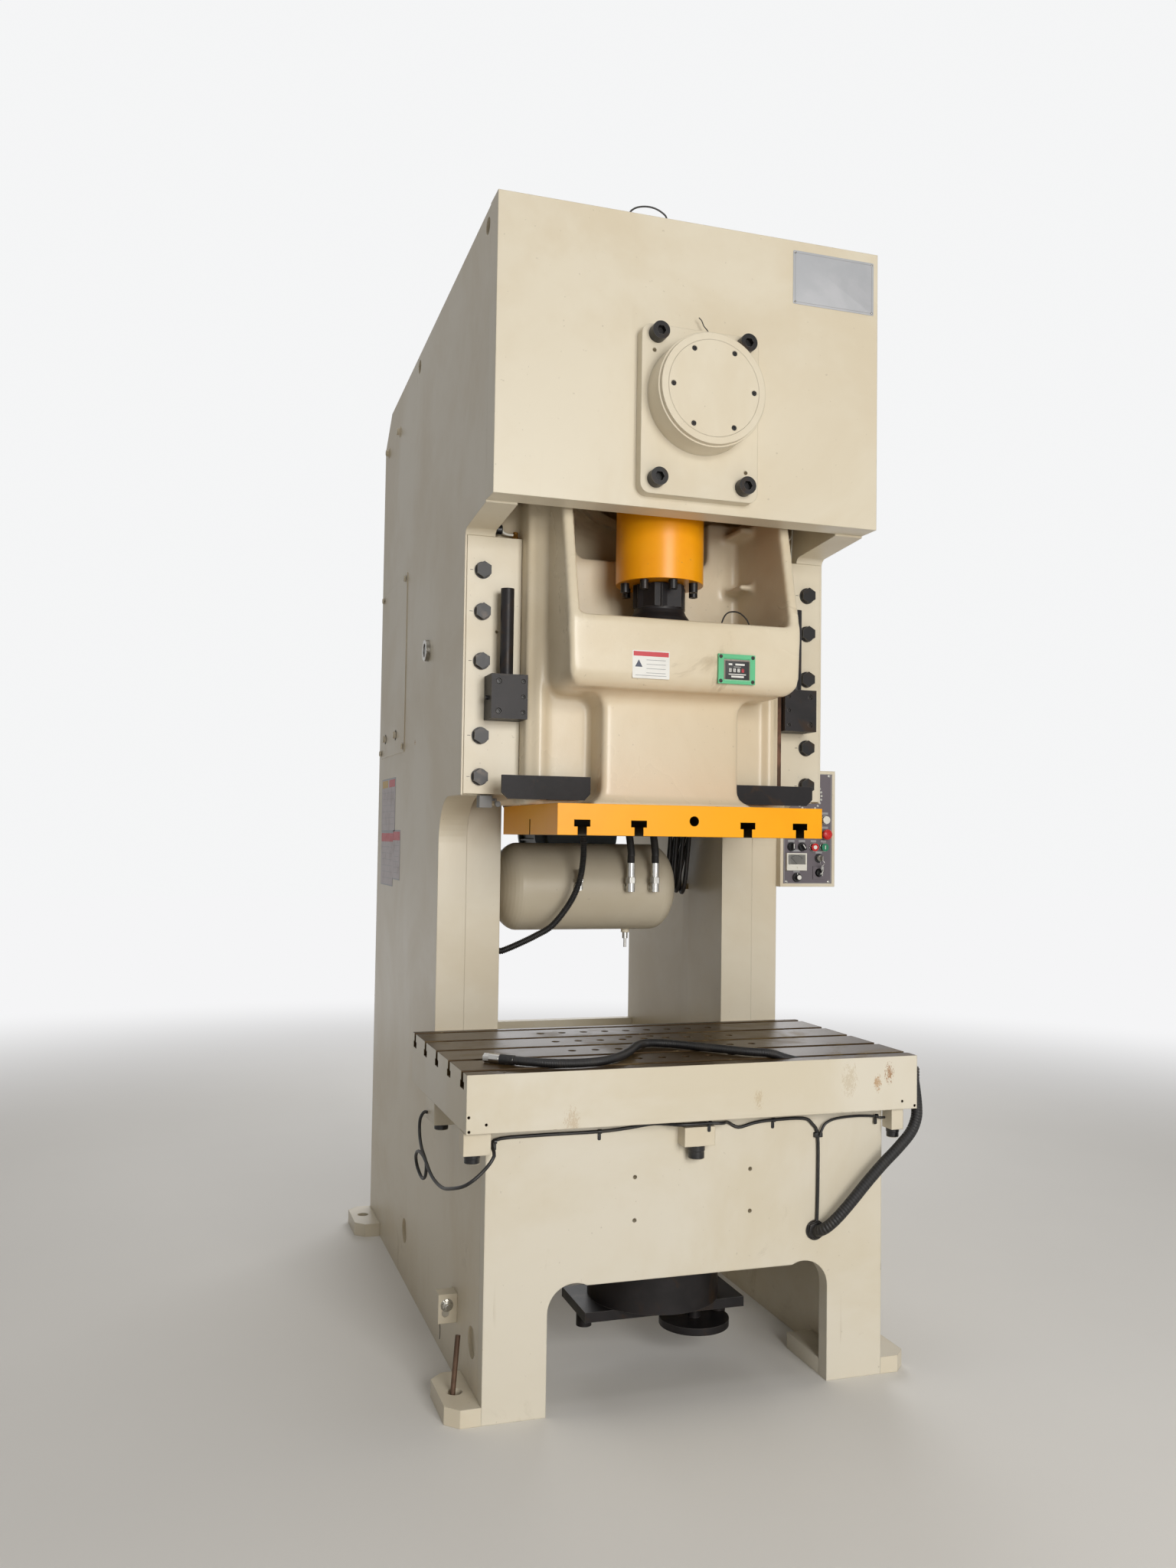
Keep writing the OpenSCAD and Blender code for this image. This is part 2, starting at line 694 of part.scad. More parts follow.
// Outline of a belt round the flywheel and the pulley, grown by a margin
module belt_loop(margin) {
    big = flywheel_r - 13 + margin;
    small = pulley_r - 13 + margin;
    gap = pinion_z - motor_z;
    a = asin((big - small) / gap);
    translate([0, pinion_z]) circle(big);
    translate([0, motor_z]) circle(small);
    polygon([
        [big * cos(a), pinion_z - big * sin(a)], [small * cos(a), motor_z - small * sin(a)],
        [-small * cos(a), motor_z - small * sin(a)], [-big * cos(a), pinion_z - big * sin(a)]]);
}

module drive_belts() {
    color(rubber) for (k = [0:belt_count - 1]) {
        y = belt_y0 + k * belt_pitch + 1;
        difference() {
            along_y(y, y + 16) belt_loop(14.5);
            along_y(y - 1, y + 17) belt_loop(0.5);
        }
    }
}

// Motor: ribbed body, end bells, feet and terminal box
module drive_motor() {
    r = 150;
    y0 = 800;
    y1 = 1130;
    color(grey) difference() {
        union() {
            along_y(y0 + 65, y1 - 55) translate([0, motor_z]) {
                circle(r);
                for (a = [-50:20:230]) rotate(a) translate([r - 10, -3]) square([22, 6]);
            }
            rod_y(r + 15, y0 + 45, y0 + 65, 0, motor_z);
            rod_y(r + 15, y1 - 55, y1 - 35, 0, motor_z);
            rod_y(r - 20, y0, y0 + 46, 0, motor_z);
            rod_y(r - 40, y1 - 36, y1, 0, motor_z);
            block(-121, 121, y0 + 90, y1 - 80, shelf_z, motor_z - r + 35);
            block(-64, 64, y0 + 110, y1 - 110, motor_z + r - 12, motor_z + r + 60);
        }
        rod_y(24 + run_gap, y0 + 200, y1 + 1, 0, motor_z);
    }
}

// Sheet cover over the back opening
module rear_cover() {
    low = pinion_z - 619;
    high = top_z(frame_back - 145) - 160;
    color(cream) {
        block(-side_in, side_in, frame_back - 12, frame_back, low, high);
        block(-side_in, side_in, frame_back - 60, frame_back - 12, low, low + 8);
        for (k = [0:7], s = [-1, 1])
            block(s * 200 - 110, s * 200 + 110, frame_back, frame_back + 8,
                low + 160 + k * 45, low + 172 + k * 45);
    }
}

// Air tank with domed ends, its weld bosses and drain boss
module air_tank() {
    x0 = -385;
    x1 = 283;
    dome = 80;
    color(cream) {
        rod_x(tank_r, x0 + dome, x1 - dome, tank_y, tank_z);
        for (s = [0, 1]) translate([s ? x1 - dome : x0 + dome, tank_y, tank_z])
            rotate([0, s ? 90 : -90, 0]) rotate_extrude() polygon(concat([[0, 0]],
                [for (i = [0:10]) [tank_r * pow(cos(i * 9), 0.8), dome * pow(sin(i * 9), 1.1)]]));
        for (x = [-118, 66, 157])
            rod_y(17, tank_y - tank_r - 6, tank_y - tank_r + 20, x, tank_z + 3);
        rod_z(15, tank_z - tank_r - 12, tank_z - tank_r + 20, 114, tank_y);
    }
}

// Elbows with ferrules, relief valve, gauge cock and drain cock of the tank
module tank_fittings() {
    front = tank_y - tank_r - 6;
    color(steel) {
        for (x = [66, 157]) {
            rod_y(13, front - 16, front, x, tank_z + 3);
            rod_z(15, tank_z - 12, tank_z + 18, x, front - 26);
            translate([x, front - 26, tank_z + 18]) cylinder(h = 22, r = 19, $fn = 6);
            rod_z(14, tank_z + 40, tank_z + 90, x, front - 26);
        }
        rod_y(12, front - 14, front, -118, tank_z + 3);
        rod_z(9, tank_z - 4, tank_z + 66, -118, front - 18);
        translate([-118, front - 18, tank_z + 20]) cylinder(h = 14, r = 14, $fn = 6);
        rod_z(10, tank_z - tank_r - 34, tank_z - tank_r - 12, 114, tank_y);
        rod_z(5, tank_z - tank_r - 66, tank_z - tank_r - 34, 114, tank_y);
        for (x = [66, 157]) rod_y(16, wall_y1, wall_y1 + 30, x, pinion_z - 160);
    }
}

// Hoses from the tank up to the wall, and the bundle that hangs beside the column
module air_hoses() {
    y0 = tank_y - tank_r - 32;
    end_z = pinion_z - 160;
    color(rubber) {
        for (x = [66, 157]) tube(smooth([
            [x, y0, tank_z + 90.3], [x, y0, tank_z + 110], [x, y0, tank_z + 130],
            [x - 4, y0 + 20, 1660], [x - 6, y0 + 60, 1760], [x - 4, y0 + 70, 1950],
            [x, y0 + 55, 2130], [x, y0 + 40, 2225], [x, y0 + 14, end_z], [x, y0, end_z],
            [x, wall_y1 + 30.3, end_z]], 2), tank_hose_r);
        for (k = [0:3]) tube(smooth([
            [290 + k * 26, wall_y1 + 0.3, end_z + 14 - 6 * k],
            [290 + k * 26, wall_y1 + 40, end_z + 14 - 6 * k],
            [290 + k * 26, 480, 2120 + 6 * k], [288 + k * 26, 560, 1850], [290 + k * 25, 604, 1620],
            [294 + k * 23, 636, 1490 - 10 * k], [304 + k * 21, 680, 1436 - 4 * k],
            [320 + k * 18, 712, 1480 + 4 * k], [346 + k * 12, 700 - 16 * k, 1620],
            [368 + k * 5, 672 - 34 * k, 1760], [394, 650 - 38 * k, 1830],
            [col_in - 0.4, 650 - 38 * k, 1830]], 1), 8);
    }
}

// Counterbalance cylinders above the gibs
module balance_cylinders() {
    low = slide_top + 40;
    high = low + 480;
    x = side_in - 62;
    y = gib_back + guide_t / 2;
    color(black) both_sides() {
        difference() {
            rod_z(56, low, high, x, y);
            rod_z(19 + run_gap, low - 1, high - 30, x, y);
        }
        block(x - 50, side_in, y - 40, y + 40, high, high + 40);
    }
}

module balance_rods() {
    color(steel) both_sides() {
        rod_z(19, slide_top, slide_top + 440, side_in - 62, gib_back + guide_t / 2);
        rod_z(30, slide_top, slide_top + 20, side_in - 62, gib_back + guide_t / 2);
    }
}

// Knock-out stop rods and their clamp blocks on the gibs
module knockout_stops() {
    low = gib_z0 + 230;
    top = low + 138;
    end = low + 410;
    color(black) both_sides() {
        difference() {
            union() {
                block(stop_in, stop_in + 115, -25, gib_y, low, top);
                rod_z(21, top, end, stop_in + 58, 20);
            }
            rod_z(12, end - 15, end + 1, stop_in + 58, 20);
            for (z = [21, 69, 117]) rod_y(7, -26, -15, stop_in + 14, low + z);
            for (z = [23, 115]) rod_y(9, -26, -12, stop_in + 92, low + z);
        }
        rod_x(7, stop_in + 115, stop_in + 125, 20, low + 67);
    }
}

// Slide casting: tub, column, side ribs, guide flanges and back wall
module slide_front_view() {
    flare = 40;
    under = 46;
    half = concat(
        [[0, plate_top], [neck_half + flare - 6, plate_top]],
        arc(neck_half + flare, plate_top + 10 + flare, flare, -90, -180, 6),
        arc(neck_half + under, tub_low - under, under, 180, 90, 8),
        arc(tub_half - 62, tub_low + 56, 56, -90, 0, 8),
        [[tub_half, rim_z]]);
    polygon(concat(half, flip(half)));
}

module slide_side_view() {
    back = gib_y;
    flare = 26;
    polygon(concat(
        [[back, plate_top], [-neck_reach - flare, plate_top]],
        arc(-neck_reach - flare, plate_top + 8 + flare, flare, -90, 0, 6),
        arc(-neck_reach - 52, tub_low - 40, 52, 0, 75, 8),
        arc(-tub_reach + 56, tub_low + 58, 56, -110, -180, 8),
        [[-tub_reach, rim_z], [back, rim_z]]));
}

module rib_outline() {
    polygon([
        [gib_y, rim_z - 60], [-tub_reach + 4, rim_z - 60], [-tub_reach + 4, rim_z],
        [-146, slide_top], [gib_y, slide_top]]);
}

module slide_casting() {
    wall_y = 155;
    window = 236;
    window_z = 2580;
    flange_x = side_in - 8;
    color(cream) difference() {
        union() {
            intersection() {
                along_y(-tub_reach, gib_y) slide_front_view();
                along_x(-tub_half - 5, tub_half + 5) slide_side_view();
            }
            both_sides() along_x(tub_half - cast_t, tub_half) rib_outline();
            block(-slide_half, slide_half, 0, gib_back + slide_gap, plate_top, slide_top);
            block(-flange_x, flange_x, gib_back + slide_gap, rear_gib_y - slide_gap,
                plate_top, slide_top);
            both_sides() rod_z(20, plate_top, slide_top, tub_half + 14, 2);
        }
        block(cast_t - tub_half, tub_half - cast_t, cast_t - tub_reach, wall_y, rim_z - 78,
            slide_top + 1);
        difference() {
            block(cast_t - tub_half - 5, tub_half + 5 - cast_t, -tub_reach - 1, -tub_reach + cast_t + 1,
                rim_z, slide_top + 1);
            both_sides() block(tub_half - cast_t, tub_half + 20, -500, 500, rim_z, slide_top + 2);
        }
        along_y(wall_y - 1, 400) {
            translate([-window, window_z]) square([2 * window, 200]);
            translate([36 - window, window_z - 36]) square([2 * window - 72, 80]);
            for (s = [-1, 1]) translate([s * (window - 36), window_z]) circle(36);
        }
        rod_z(ball_r + 40, ball_z - 130, rim_z + 1, 0, 0);
        block(-240, -216, -3, 26, 1875, 1999);
    }
    color(cream) for (s = [0, 190])
        block(296, tub_half - cast_t, 20, wall_y, 2452 + s, 2472 + s);
}

module slide_plate() {
    half = plate_d / 2;
    color(yellow) difference() {
        block(-plate_w / 2, plate_w / 2, -half, half, plate_z, plate_top);
        for (x = plate_slots) translate([x, 0, plate_z]) along_y(-half - 1, half + 1) slot_profile();
        rod_z(shank_r, plate_z - 1, plate_z + shank_depth, 0, 0);
        rod_y(15, -half - 1, -half + 180, 0, plate_z + 46);
        block(-plate_w / 2 - 1, -plate_w / 2 + 25, -20, -8, plate_z - 1, plate_z + 48);
    }
}

module guard_angle(outline) {
    along_y(-57, -45) polygon(outline);
}

// Black angle plates over the lower ends of the gibs
module guard_plates() {
    low = plate_top + 16;
    out = side_in - 2;
    near = neck_half + 15;
    color(black) {
        guard_angle([[21 - out, low], [-out, low + 19], [-out, low + 73], [-near, low + 73],
            [-near, low + 20], [-near - 19, low]]);
        block(10 - tub_half, -near - 47, -45, 0, low, low + 12);
        guard_angle(concat([[near, low + 62], [out, low + 62], [out, low + 19], [out - 21, low - 1]],
            arc(near + 47, low + 46, 47, -90, -180, 8)));
        block(near + 57, tub_half - 10, -45, 0, low, low + 12);
    }
}

module die_height_counter() {
    color([0.2, 0.5, 0.3]) difference() {
        block(94, 217, -tub_reach - 8, -tub_reach, 2099, 2190);
        block(112, 199, -tub_reach - 9, -tub_reach - 5, 2112, 2177);
        for (x = [102, 209], z = [2107, 2182]) rod_y(3, -tub_reach - 9, -tub_reach - 4, x, z);
    }
    color(black) difference() {
        block(112.2, 198.8, -tub_reach - 7, -tub_reach - 5, 2112.2, 2176.8);
        block(130, 182, -tub_reach - 8, -tub_reach - 6, 2132, 2150);
    }
}

// Seat under the ball and the ring that holds it down
module ball_seats() {
    color(bronze) difference() {
        rod_z(ball_r + 39.8, ball_z - 130, ball_z - 12, 0, 0);
        translate([0, 0, ball_z]) sphere(ball_r + fit);
    }
    color(black) difference() {
        rod_z(ball_r + 39.8, ball_z - 8, ball_z + 42, 0, 0);
        translate([0, 0, ball_z]) sphere(ball_r + fit);
        rod_z(ball_r - 6, ball_z, ball_z + 60, 0, 0);
    }
}

// Adjusting screw: ball, collar, hexagon and threaded stem
module adjusting_screw() {
    color(black) {
        translate([0, 0, ball_z]) sphere(ball_r);
        rod_z(screw_r, ball_z, rod_low + 253, 0, 0);
        rotate_extrude() polygon([[0, 2312], [103, 2312], [96, 2326], [86, 2340], [81, 2352],
            [81, 2360], [0, 2360]]);
        rotate([0, 0, 15]) rod_z(86, 2358, rod_low - 4, 0, 0, $fn = 6);
        rotate([0, 0, 0]) translate([0, 0, 2360]) cylinder(h = rod_low - 4 - 2360, r = 90, $fn = 6);
    }
}

// Connection: outer cylinder, and the big end that surrounds the crank pin
module connecting_rod() {
    big_r = pin_r + 225;
    hole_r = pin_r + 175;
    color(yellow) difference() {
        union() {
            rod_z(rod_r, rod_low, rod_top, 0, 0);
            block(-110, 110, -75, 75, rod_top - 10, pin_z - hole_r);
            rod_y(big_r, -75, 75, 0, pin_z);
        }
        rod_y(hole_r, -90, 90, 0, pin_z);
        rod_z(screw_r + run_gap, rod_low - 1, rod_low + 320, 0, 0);
        for (a = [0:45:315]) rod_z(9.2, rod_low - 1, rod_low + 50, 118 * cos(a), 118 * sin(a));
    }
}

module rod_screws() {
    color(black) for (a = [0:45:315])
        translate([118 * cos(a), 118 * sin(a), rod_low]) rotate([180, 0, 0])
            socket_screw(14, 30, 9, 40);
}

module side_cover() {
    low = 1945;
    high = 2643;
    color(cream) {
        difference() {
            block(-half_w - 3, -half_w, 1085, 1640, low, high);
            for (y = [1105, 1620], z = [low + 22, high - 22]) rod_x(7, -half_w - 4, -half_w - 2, y, z);
        }
    }
}

module sight_glass() {
    color(steel) difference() {
        rod_x(38, -half_w - 14, -half_w, 641, 2277);
        rod_x(24, -half_w - 15, -half_w - 9, 641, 2277);
    }
}

module control_box() {
    color(cream) difference() {
        block(panel_x0, panel_x0 + panel_w, panel_y, panel_y + panel_d, panel_z0, panel_z1);
        block(panel_x0 + 12, panel_x0 + panel_w - 12, panel_y - 1, panel_y + 4, panel_z0 + 12,
            panel_z1 - 12);
        for (p = control_points()) rod_y(p[2] + 0.4, panel_y, panel_y + 60, p[0], p[1]);
    }
}

// Places of the controls: x, z and shaft radius
function control_points() = [
    [804, 1700, 8], [803, 1647, 8], [668, 1601, 5], [711, 1601, 5], [758, 1600, 8], [799, 1600, 8],
    [780, 1560, 5], [780, 1507, 5], [690, 1490, 5]];

module control_panel() {
    color(grey) difference() {
        block(panel_x0 + 12.2, panel_x0 + panel_w - 12.2, panel_face_y + 4, panel_y + 4,
            panel_z0 + 12.2, panel_z1 - 12.2);
        for (p = control_points()) rod_y(p[2] + 0.4, panel_y - 10, panel_y + 10, p[0], p[1]);
    }
    color(steel) difference() {
        block(756, 804, panel_y - 3, panel_y, 1483, 1531);
        rod_y(5.4, panel_y - 10, panel_y + 1, 780, 1507);
    }
}

module ammeter() {
    color([0.85, 0.85, 0.82]) difference() {
        block(646, 726, panel_y - 12, panel_y, 1515, 1578);
        block(651, 721, panel_y - 13, panel_y - 9, 1537, 1573);
        rod_y(3, panel_y - 13, panel_y - 9, 686, 1525);
    }
}

module push_button(i, r, head) {
    p = control_points()[i];
    rod_y(p[2], panel_y - 12, panel_y + 30, p[0], p[1]);
    rod_y(r, panel_y - head, panel_y - head + 6, p[0], p[1]);
}

module white_button() {
    color([0.9, 0.9, 0.88]) push_button(0, button_r, 16);
}

module stop_button() {
    color([0.85, 0.12, 0.1]) push_button(4, button_r, 16);
}

module start_button() {
    color([0.05, 0.5, 0.35]) push_button(5, button_r, 16);
}

// Mushroom head on its stem
module emergency_button() {
    p = control_points()[1];
    color([0.8, 0.08, 0.08]) {
        rod_y(p[2], panel_y - 16, panel_y + 30, p[0], p[1]);
        translate([p[0], panel_y - 14, p[1]]) rotate([90, 0, 0]) rotate_extrude()
            polygon([[0, 0], [11, 0], [17, 4], [19, 8], [19, 11], [16, 15], [9, 18], [0, 19]]);
    }
}

module turn_handle(i, r, turn) {
    p = control_points()[i];
    rod_y(p[2], panel_y - 8, panel_y + 30, p[0], p[1]);
    rod_y(r, panel_y - 10, panel_y - 4, p[0], p[1]);
    translate([p[0], 0, p[1]]) rotate([0, turn, 0])
        block(-4, 4, panel_y - 24, panel_y - 9, -r + 1, r - 1);
}

module left_selector() {
    color(black) turn_handle(2, 13, 0);
}

module right_selector() {
    color(black) turn_handle(3, 13, -35);
}

module key_switch() {
    p = control_points()[6];
    color(steel) {
        rod_y(p[2], panel_y - 8, panel_y + 30, p[0], p[1]);
        rod_y(11, panel_y - 12, panel_y - 4, p[0], p[1]);
        block(p[0] - 1.5, p[0] + 1.5, panel_y - 34, panel_y - 12, p[1] - 8, p[1] + 8);
    }
}

module mode_switch() {
    color(black) turn_handle(7, 13, 40);
}

module speed_knob() {
    p = control_points()[8];
    color(black) {
        rod_y(p[2], panel_y - 8, panel_y + 30, p[0], p[1]);
        rod_y(16, panel_y - 9, panel_y - 4, p[0], p[1]);
        rod_y(10, panel_y - 24, panel_y - 9, p[0], p[1]);
    }
}

// Bent bracket with a keyhole slot and a clamped bolt, on the left side plate
module wall_bracket() {
    x0 = -half_w - 58;
    color(cream) {
        difference() {
            block(x0, -half_w, -12, -8, 168, 254);
            rod_y(9, -13, -7, x0 + 26, 222);
            rod_y(11, -13, -7, x0 + 22, 198);
        }
        block(x0, -half_w, -8, 40, 250, 254);
        block(-half_w - 4, -half_w, -8, 60, 168, 250);
    }
    color(steel) {
        rod_y(8.9, -30, 12, x0 + 26, 222);
        translate([x0 + 26, -12, 222]) rotate([90, 0, 0]) cylinder(h = 10, r = 15, $fn = 6);
    }
}

// Small sensor housings at the bolster's edge, each with a round cap below
module edge_sensors() {
    front = -bed_reach;
    color(cream) {
        block(-half_w - 77, -half_w, front - 58, front - 4, 752, bed_top);
        block(-50, 45, front - 52, front, 737, 792);
        block(half_w, half_w + 40, front - 58, front - 4, 750, bed_top);
        block(-half_w - 75, -half_w, 20, 150, 748, bed_top);
    }
    color(black) {
        rod_z(21, 727, 752, -half_w - 46, front - 30);
        rod_z(23, 699, 737, -4, front - 28);
        rod_z(18, 724, 750, half_w + 20, front - 30);
        rod_z(21, 724, 748, -half_w - 40, 80);
    }
}

// Cable clipped along the bed's front, looped at the left side
module sensor_cable() {
    color(rubber) {
        tube(cable_path, 5);
        tube(cable_branch, 4);
    }
}

module limit_switch() {
    color(grey) {
        block(-560, -520, gib_y + 20, gib_y + 60, gib_z0 - 42, gib_z0 - 4.2);
        block(-520, -505, gib_y + 32, gib_y + 46, gib_z0 - 20, gib_z0 - 12);
        rod_y(9, gib_y + 20, gib_y + 32, -500, gib_z0 - 30);
        block(-509, -503, gib_y + 26, gib_y + 32, gib_z0 - 30, gib_z0 - 12);
    }
}

// Die cushion cylinder and its guide yoke, under the bed table
module cushion_cylinder() {
    top = bed_top - table_t;
    color(black) {
        difference() {
            rod_z(205, 200, top, 0, bolster_y);
            rod_z(205 - 25, 230, top + 1, 0, bolster_y);
            rod_z(45 + run_gap, 199, 231, 0, bolster_y);
        }
        difference() {
            rod_z(260, top - 30, top, 0, bolster_y);
            rod_z(204, top - 31, top + 1, 0, bolster_y);
        }
        difference() {
            block(-260, 260, -130, 110, 170, 200);
            rod_z(46, 169, 201, 0, bolster_y);
        }
        for (x = [-225, 225]) rod_z(24, 120, 170, x, bolster_y);
        rod_z(110, 104, 126, 126, bolster_y - 40);
        rod_z(20, 126, 170, 126, bolster_y - 40);
    }
}

module cushion_plate() {
    color(grey) {
        rod_z(178, bed_top - 165, bed_top - 85, 0, bolster_y);
        rod_z(45, 140, bed_top - 165, 0, bolster_y);
    }
}

module slide_conduit() {
    color(rubber) tube(conduit_path, 11);
}

module hose_sleeve() {
    color(rubber) tube(sleeve_path, 17);
}

module air_hose() {
    color(rubber) tube(smooth(hose_path, 2), 12.5);
}

// Screwed coupling at the end of the air hose
module hose_connector() {
    a = hose_path[len(hose_path) - 1];
    d = unit(a - hose_path[len(hose_path) - 2]);
    color(steel) translate([a[0], a[1], a[2]])
        rotate([0, 90, atan2(d[1], d[0])]) {
            translate([0, 0, 0.8]) cylinder(h = 46, r = 13.2);
            translate([0, 0, 46]) cylinder(h = 33, r = 13.9);
            translate([0, 0, 78]) cylinder(h = 20, r = 13.7, $fn = 6);
        }
}

module placed() {
    translate([0, -anchor_mid_y, 0]) children();
}

placed() side_plates();
placed() head_plates();
placed() cross_walls();
placed() column_boxes();
placed() bed_plates();
placed() bed_table();
placed() mounting_feet();
placed() bolster();
placed() gibs();
placed() gib_bolts();
placed() bearing_housing();
placed() bearing_cover();
placed() bearing_screws();
placed() crank_bushes();
placed() drive_motor();
placed() drive_belts();
placed() rear_cover();
placed() air_tank();
placed() tank_fittings();
placed() air_hoses();
placed() balance_cylinders();
placed() knockout_stops();
placed() side_cover();
placed() sight_glass();
placed() control_box();
placed() control_panel();
placed() ammeter();
placed() wall_bracket();
placed() edge_sensors();
placed() sensor_cable();
placed() cushion_cylinder();
placed() limit_switch();
placed() hose_sleeve();
placed() air_hose();
placed() hose_connector();
placed() slide_casting();
placed() slide_plate();
placed() guard_plates();
placed() die_height_counter();
placed() ball_seats();
placed() balance_rods();
placed() slide_conduit();
placed() adjusting_screw();
placed() connecting_rod();
placed() rod_screws();
placed() crankshaft();
placed() main_gear();
placed() pinion_shaft();
placed() flywheel();
placed() motor_pulley();
placed() cushion_plate();
placed() white_button();
placed() stop_button();
placed() start_button();
placed() emergency_button();
placed() left_selector();
placed() right_selector();
placed() key_switch();
placed() mode_switch();
placed() speed_knob();
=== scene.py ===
import math

import bmesh
import bpy
from mathutils import Matrix, Vector


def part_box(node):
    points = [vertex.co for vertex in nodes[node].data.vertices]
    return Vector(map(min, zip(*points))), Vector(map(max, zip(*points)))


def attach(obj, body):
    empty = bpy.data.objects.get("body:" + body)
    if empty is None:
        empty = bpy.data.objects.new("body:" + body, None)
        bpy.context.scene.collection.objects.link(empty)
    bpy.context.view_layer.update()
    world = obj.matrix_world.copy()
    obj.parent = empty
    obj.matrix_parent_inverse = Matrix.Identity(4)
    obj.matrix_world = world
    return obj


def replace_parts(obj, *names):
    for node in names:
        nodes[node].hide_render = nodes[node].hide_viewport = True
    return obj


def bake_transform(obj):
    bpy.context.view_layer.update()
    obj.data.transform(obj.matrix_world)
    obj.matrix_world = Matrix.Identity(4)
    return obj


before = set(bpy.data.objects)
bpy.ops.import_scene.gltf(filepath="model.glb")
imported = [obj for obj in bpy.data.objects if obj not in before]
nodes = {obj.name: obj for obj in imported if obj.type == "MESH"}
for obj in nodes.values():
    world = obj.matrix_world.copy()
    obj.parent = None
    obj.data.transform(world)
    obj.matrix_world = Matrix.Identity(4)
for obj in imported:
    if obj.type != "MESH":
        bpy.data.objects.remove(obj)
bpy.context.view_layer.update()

rodLow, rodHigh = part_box("connecting_rod")
slideY = (rodLow.y + rodHigh.y) / 2
print("frame loaded, slide centre line at y", round(slideY, 4))


# Places are given in millimetres from the slide's centre line, as the press is drawn
def at(x, y, z):
    return Vector((x / 1000, y / 1000 + slideY, z / 1000))


def route(points):
    return [at(*p) for p in points]


# Camera

cameraView = {"eye": (-1493.5, -3845.7, 1622.4), "yaw": 18.15, "pitch": 2.4, "roll": 0.82,
              "focalPixels": 1679.5, "imageWidth": 1536}


def makeCamera(view):
    yaw, pitch, roll = (math.radians(view[k]) for k in ("yaw", "pitch", "roll"))
    look = Vector((math.sin(yaw) * math.cos(pitch), math.cos(yaw) * math.cos(pitch), math.sin(pitch)))
    side = Vector((math.cos(yaw), -math.sin(yaw), 0))
    up = side.cross(look)
    right = side * math.cos(roll) + up * math.sin(roll)
    top = up * math.cos(roll) - side * math.sin(roll)
    data = bpy.data.cameras.new("camera")
    data.sensor_fit = "HORIZONTAL"
    data.sensor_width = 36
    data.lens = data.sensor_width * view["focalPixels"] / view["imageWidth"]
    data.clip_end = 200
    camera = bpy.data.objects.new("camera", data)
    turn = Matrix((right, top, -look)).transposed().to_4x4()
    camera.matrix_world = Matrix.Translation(at(*view["eye"])) @ turn
    bpy.context.scene.collection.objects.link(camera)
    bpy.context.scene.camera = camera


makeCamera(cameraView)


# Mesh helpers

def linked(name, mesh):
    piece = bpy.data.objects.new(name, mesh)
    bpy.context.scene.collection.objects.link(piece)
    return piece


def meshObject(name, verts, faces):
    mesh = bpy.data.meshes.new(name)
    mesh.from_pydata([tuple(v) for v in verts], [], faces)
    mesh.update()
    return linked(name, mesh)


def cleanMesh(bm, mesh, distance=1e-6):
    bmesh.ops.remove_doubles(bm, verts=bm.verts, dist=distance)
    bmesh.ops.recalc_face_normals(bm, faces=bm.faces)
    bm.to_mesh(mesh)
    bm.free()


def finalMesh(piece):
    # The plain mesh that the piece's modifiers give
    bpy.context.view_layer.update()
    return bpy.data.meshes.new_from_object(piece.evaluated_get(bpy.context.evaluated_depsgraph_get()))


def addPrism(bm, outline, base, u, v, w, depth, bevel=0.0):
    # A closed prism: outline in the plane of u and v through base, depth along w
    low = [bm.verts.new(base + u * p[0] + v * p[1]) for p in outline]
    high = [bm.verts.new(base + u * p[0] + v * p[1] + w * depth) for p in outline]
    n = len(outline)
    faces = [bm.faces.new(low), bm.faces.new(high)]
    faces += [bm.faces.new((low[i], low[(i + 1) % n], high[(i + 1) % n], high[i])) for i in range(n)]
    if bevel:
        edges = list(dict.fromkeys(e for f in faces for e in f.edges))
        bmesh.ops.bevel(bm, geom=edges, offset=bevel, segments=2, affect="EDGES", profile=0.6)


def rectangle(w, h):
    return [(-w / 2, -h / 2), (w / 2, -h / 2), (w / 2, h / 2), (-w / 2, h / 2)]


def roundRectangle(w, h, r, steps):
    points = []
    for cx, cy, start in ((w / 2 - r, h / 2 - r, 0), (r - w / 2, h / 2 - r, 90),
                          (r - w / 2, r - h / 2, 180), (w / 2 - r, r - h / 2, 270)):
        for i in range(steps + 1):
            a = math.radians(start + 90 * i / steps)
            points.append((cx + r * math.cos(a), cy + r * math.sin(a)))
    return points


def ring(r, n, turn=0.0):
    return [(r * math.cos(turn + 2 * math.pi * i / n), r * math.sin(turn + 2 * math.pi * i / n))
            for i in range(n)]


def addTurned(bm, profile, base, u, v, w, n):
    # A closed turned shape: profile of (radius, height) pairs from axis to axis
    rows = []
    for r, h in profile:
        if r < 1e-7:
            rows.append([bm.verts.new(base + w * h)])
        else:
            rows.append([bm.verts.new(base + w * h + u * p[0] + v * p[1]) for p in ring(r, n)])
    for a, b in zip(rows, rows[1:]):
        for i in range(n):
            j = (i + 1) % n
            if len(a) == 1 and len(b) == 1:
                continue
            if len(a) == 1:
                bm.faces.new((a[0], b[i], b[j]))
            elif len(b) == 1:
                bm.faces.new((a[i], a[j], b[0]))
            else:
                bm.faces.new((a[i], a[j], b[j], b[i]))


def catmull(points, steps):
    # A smooth line through the points
    out = []
    last = len(points) - 1
    for i in range(last):
        a, b, c, d = (points[max(i - 1, 0)], points[i], points[i + 1], points[min(i + 2, last)])
        for j in range(steps):
            t = j / steps
            out.append(0.5 * (2 * b + (c - a) * t + (2 * a - 5 * b + 4 * c - d) * t * t
                              + (3 * b - a - 3 * c + d) * t ** 3))
    return out + [points[-1]]


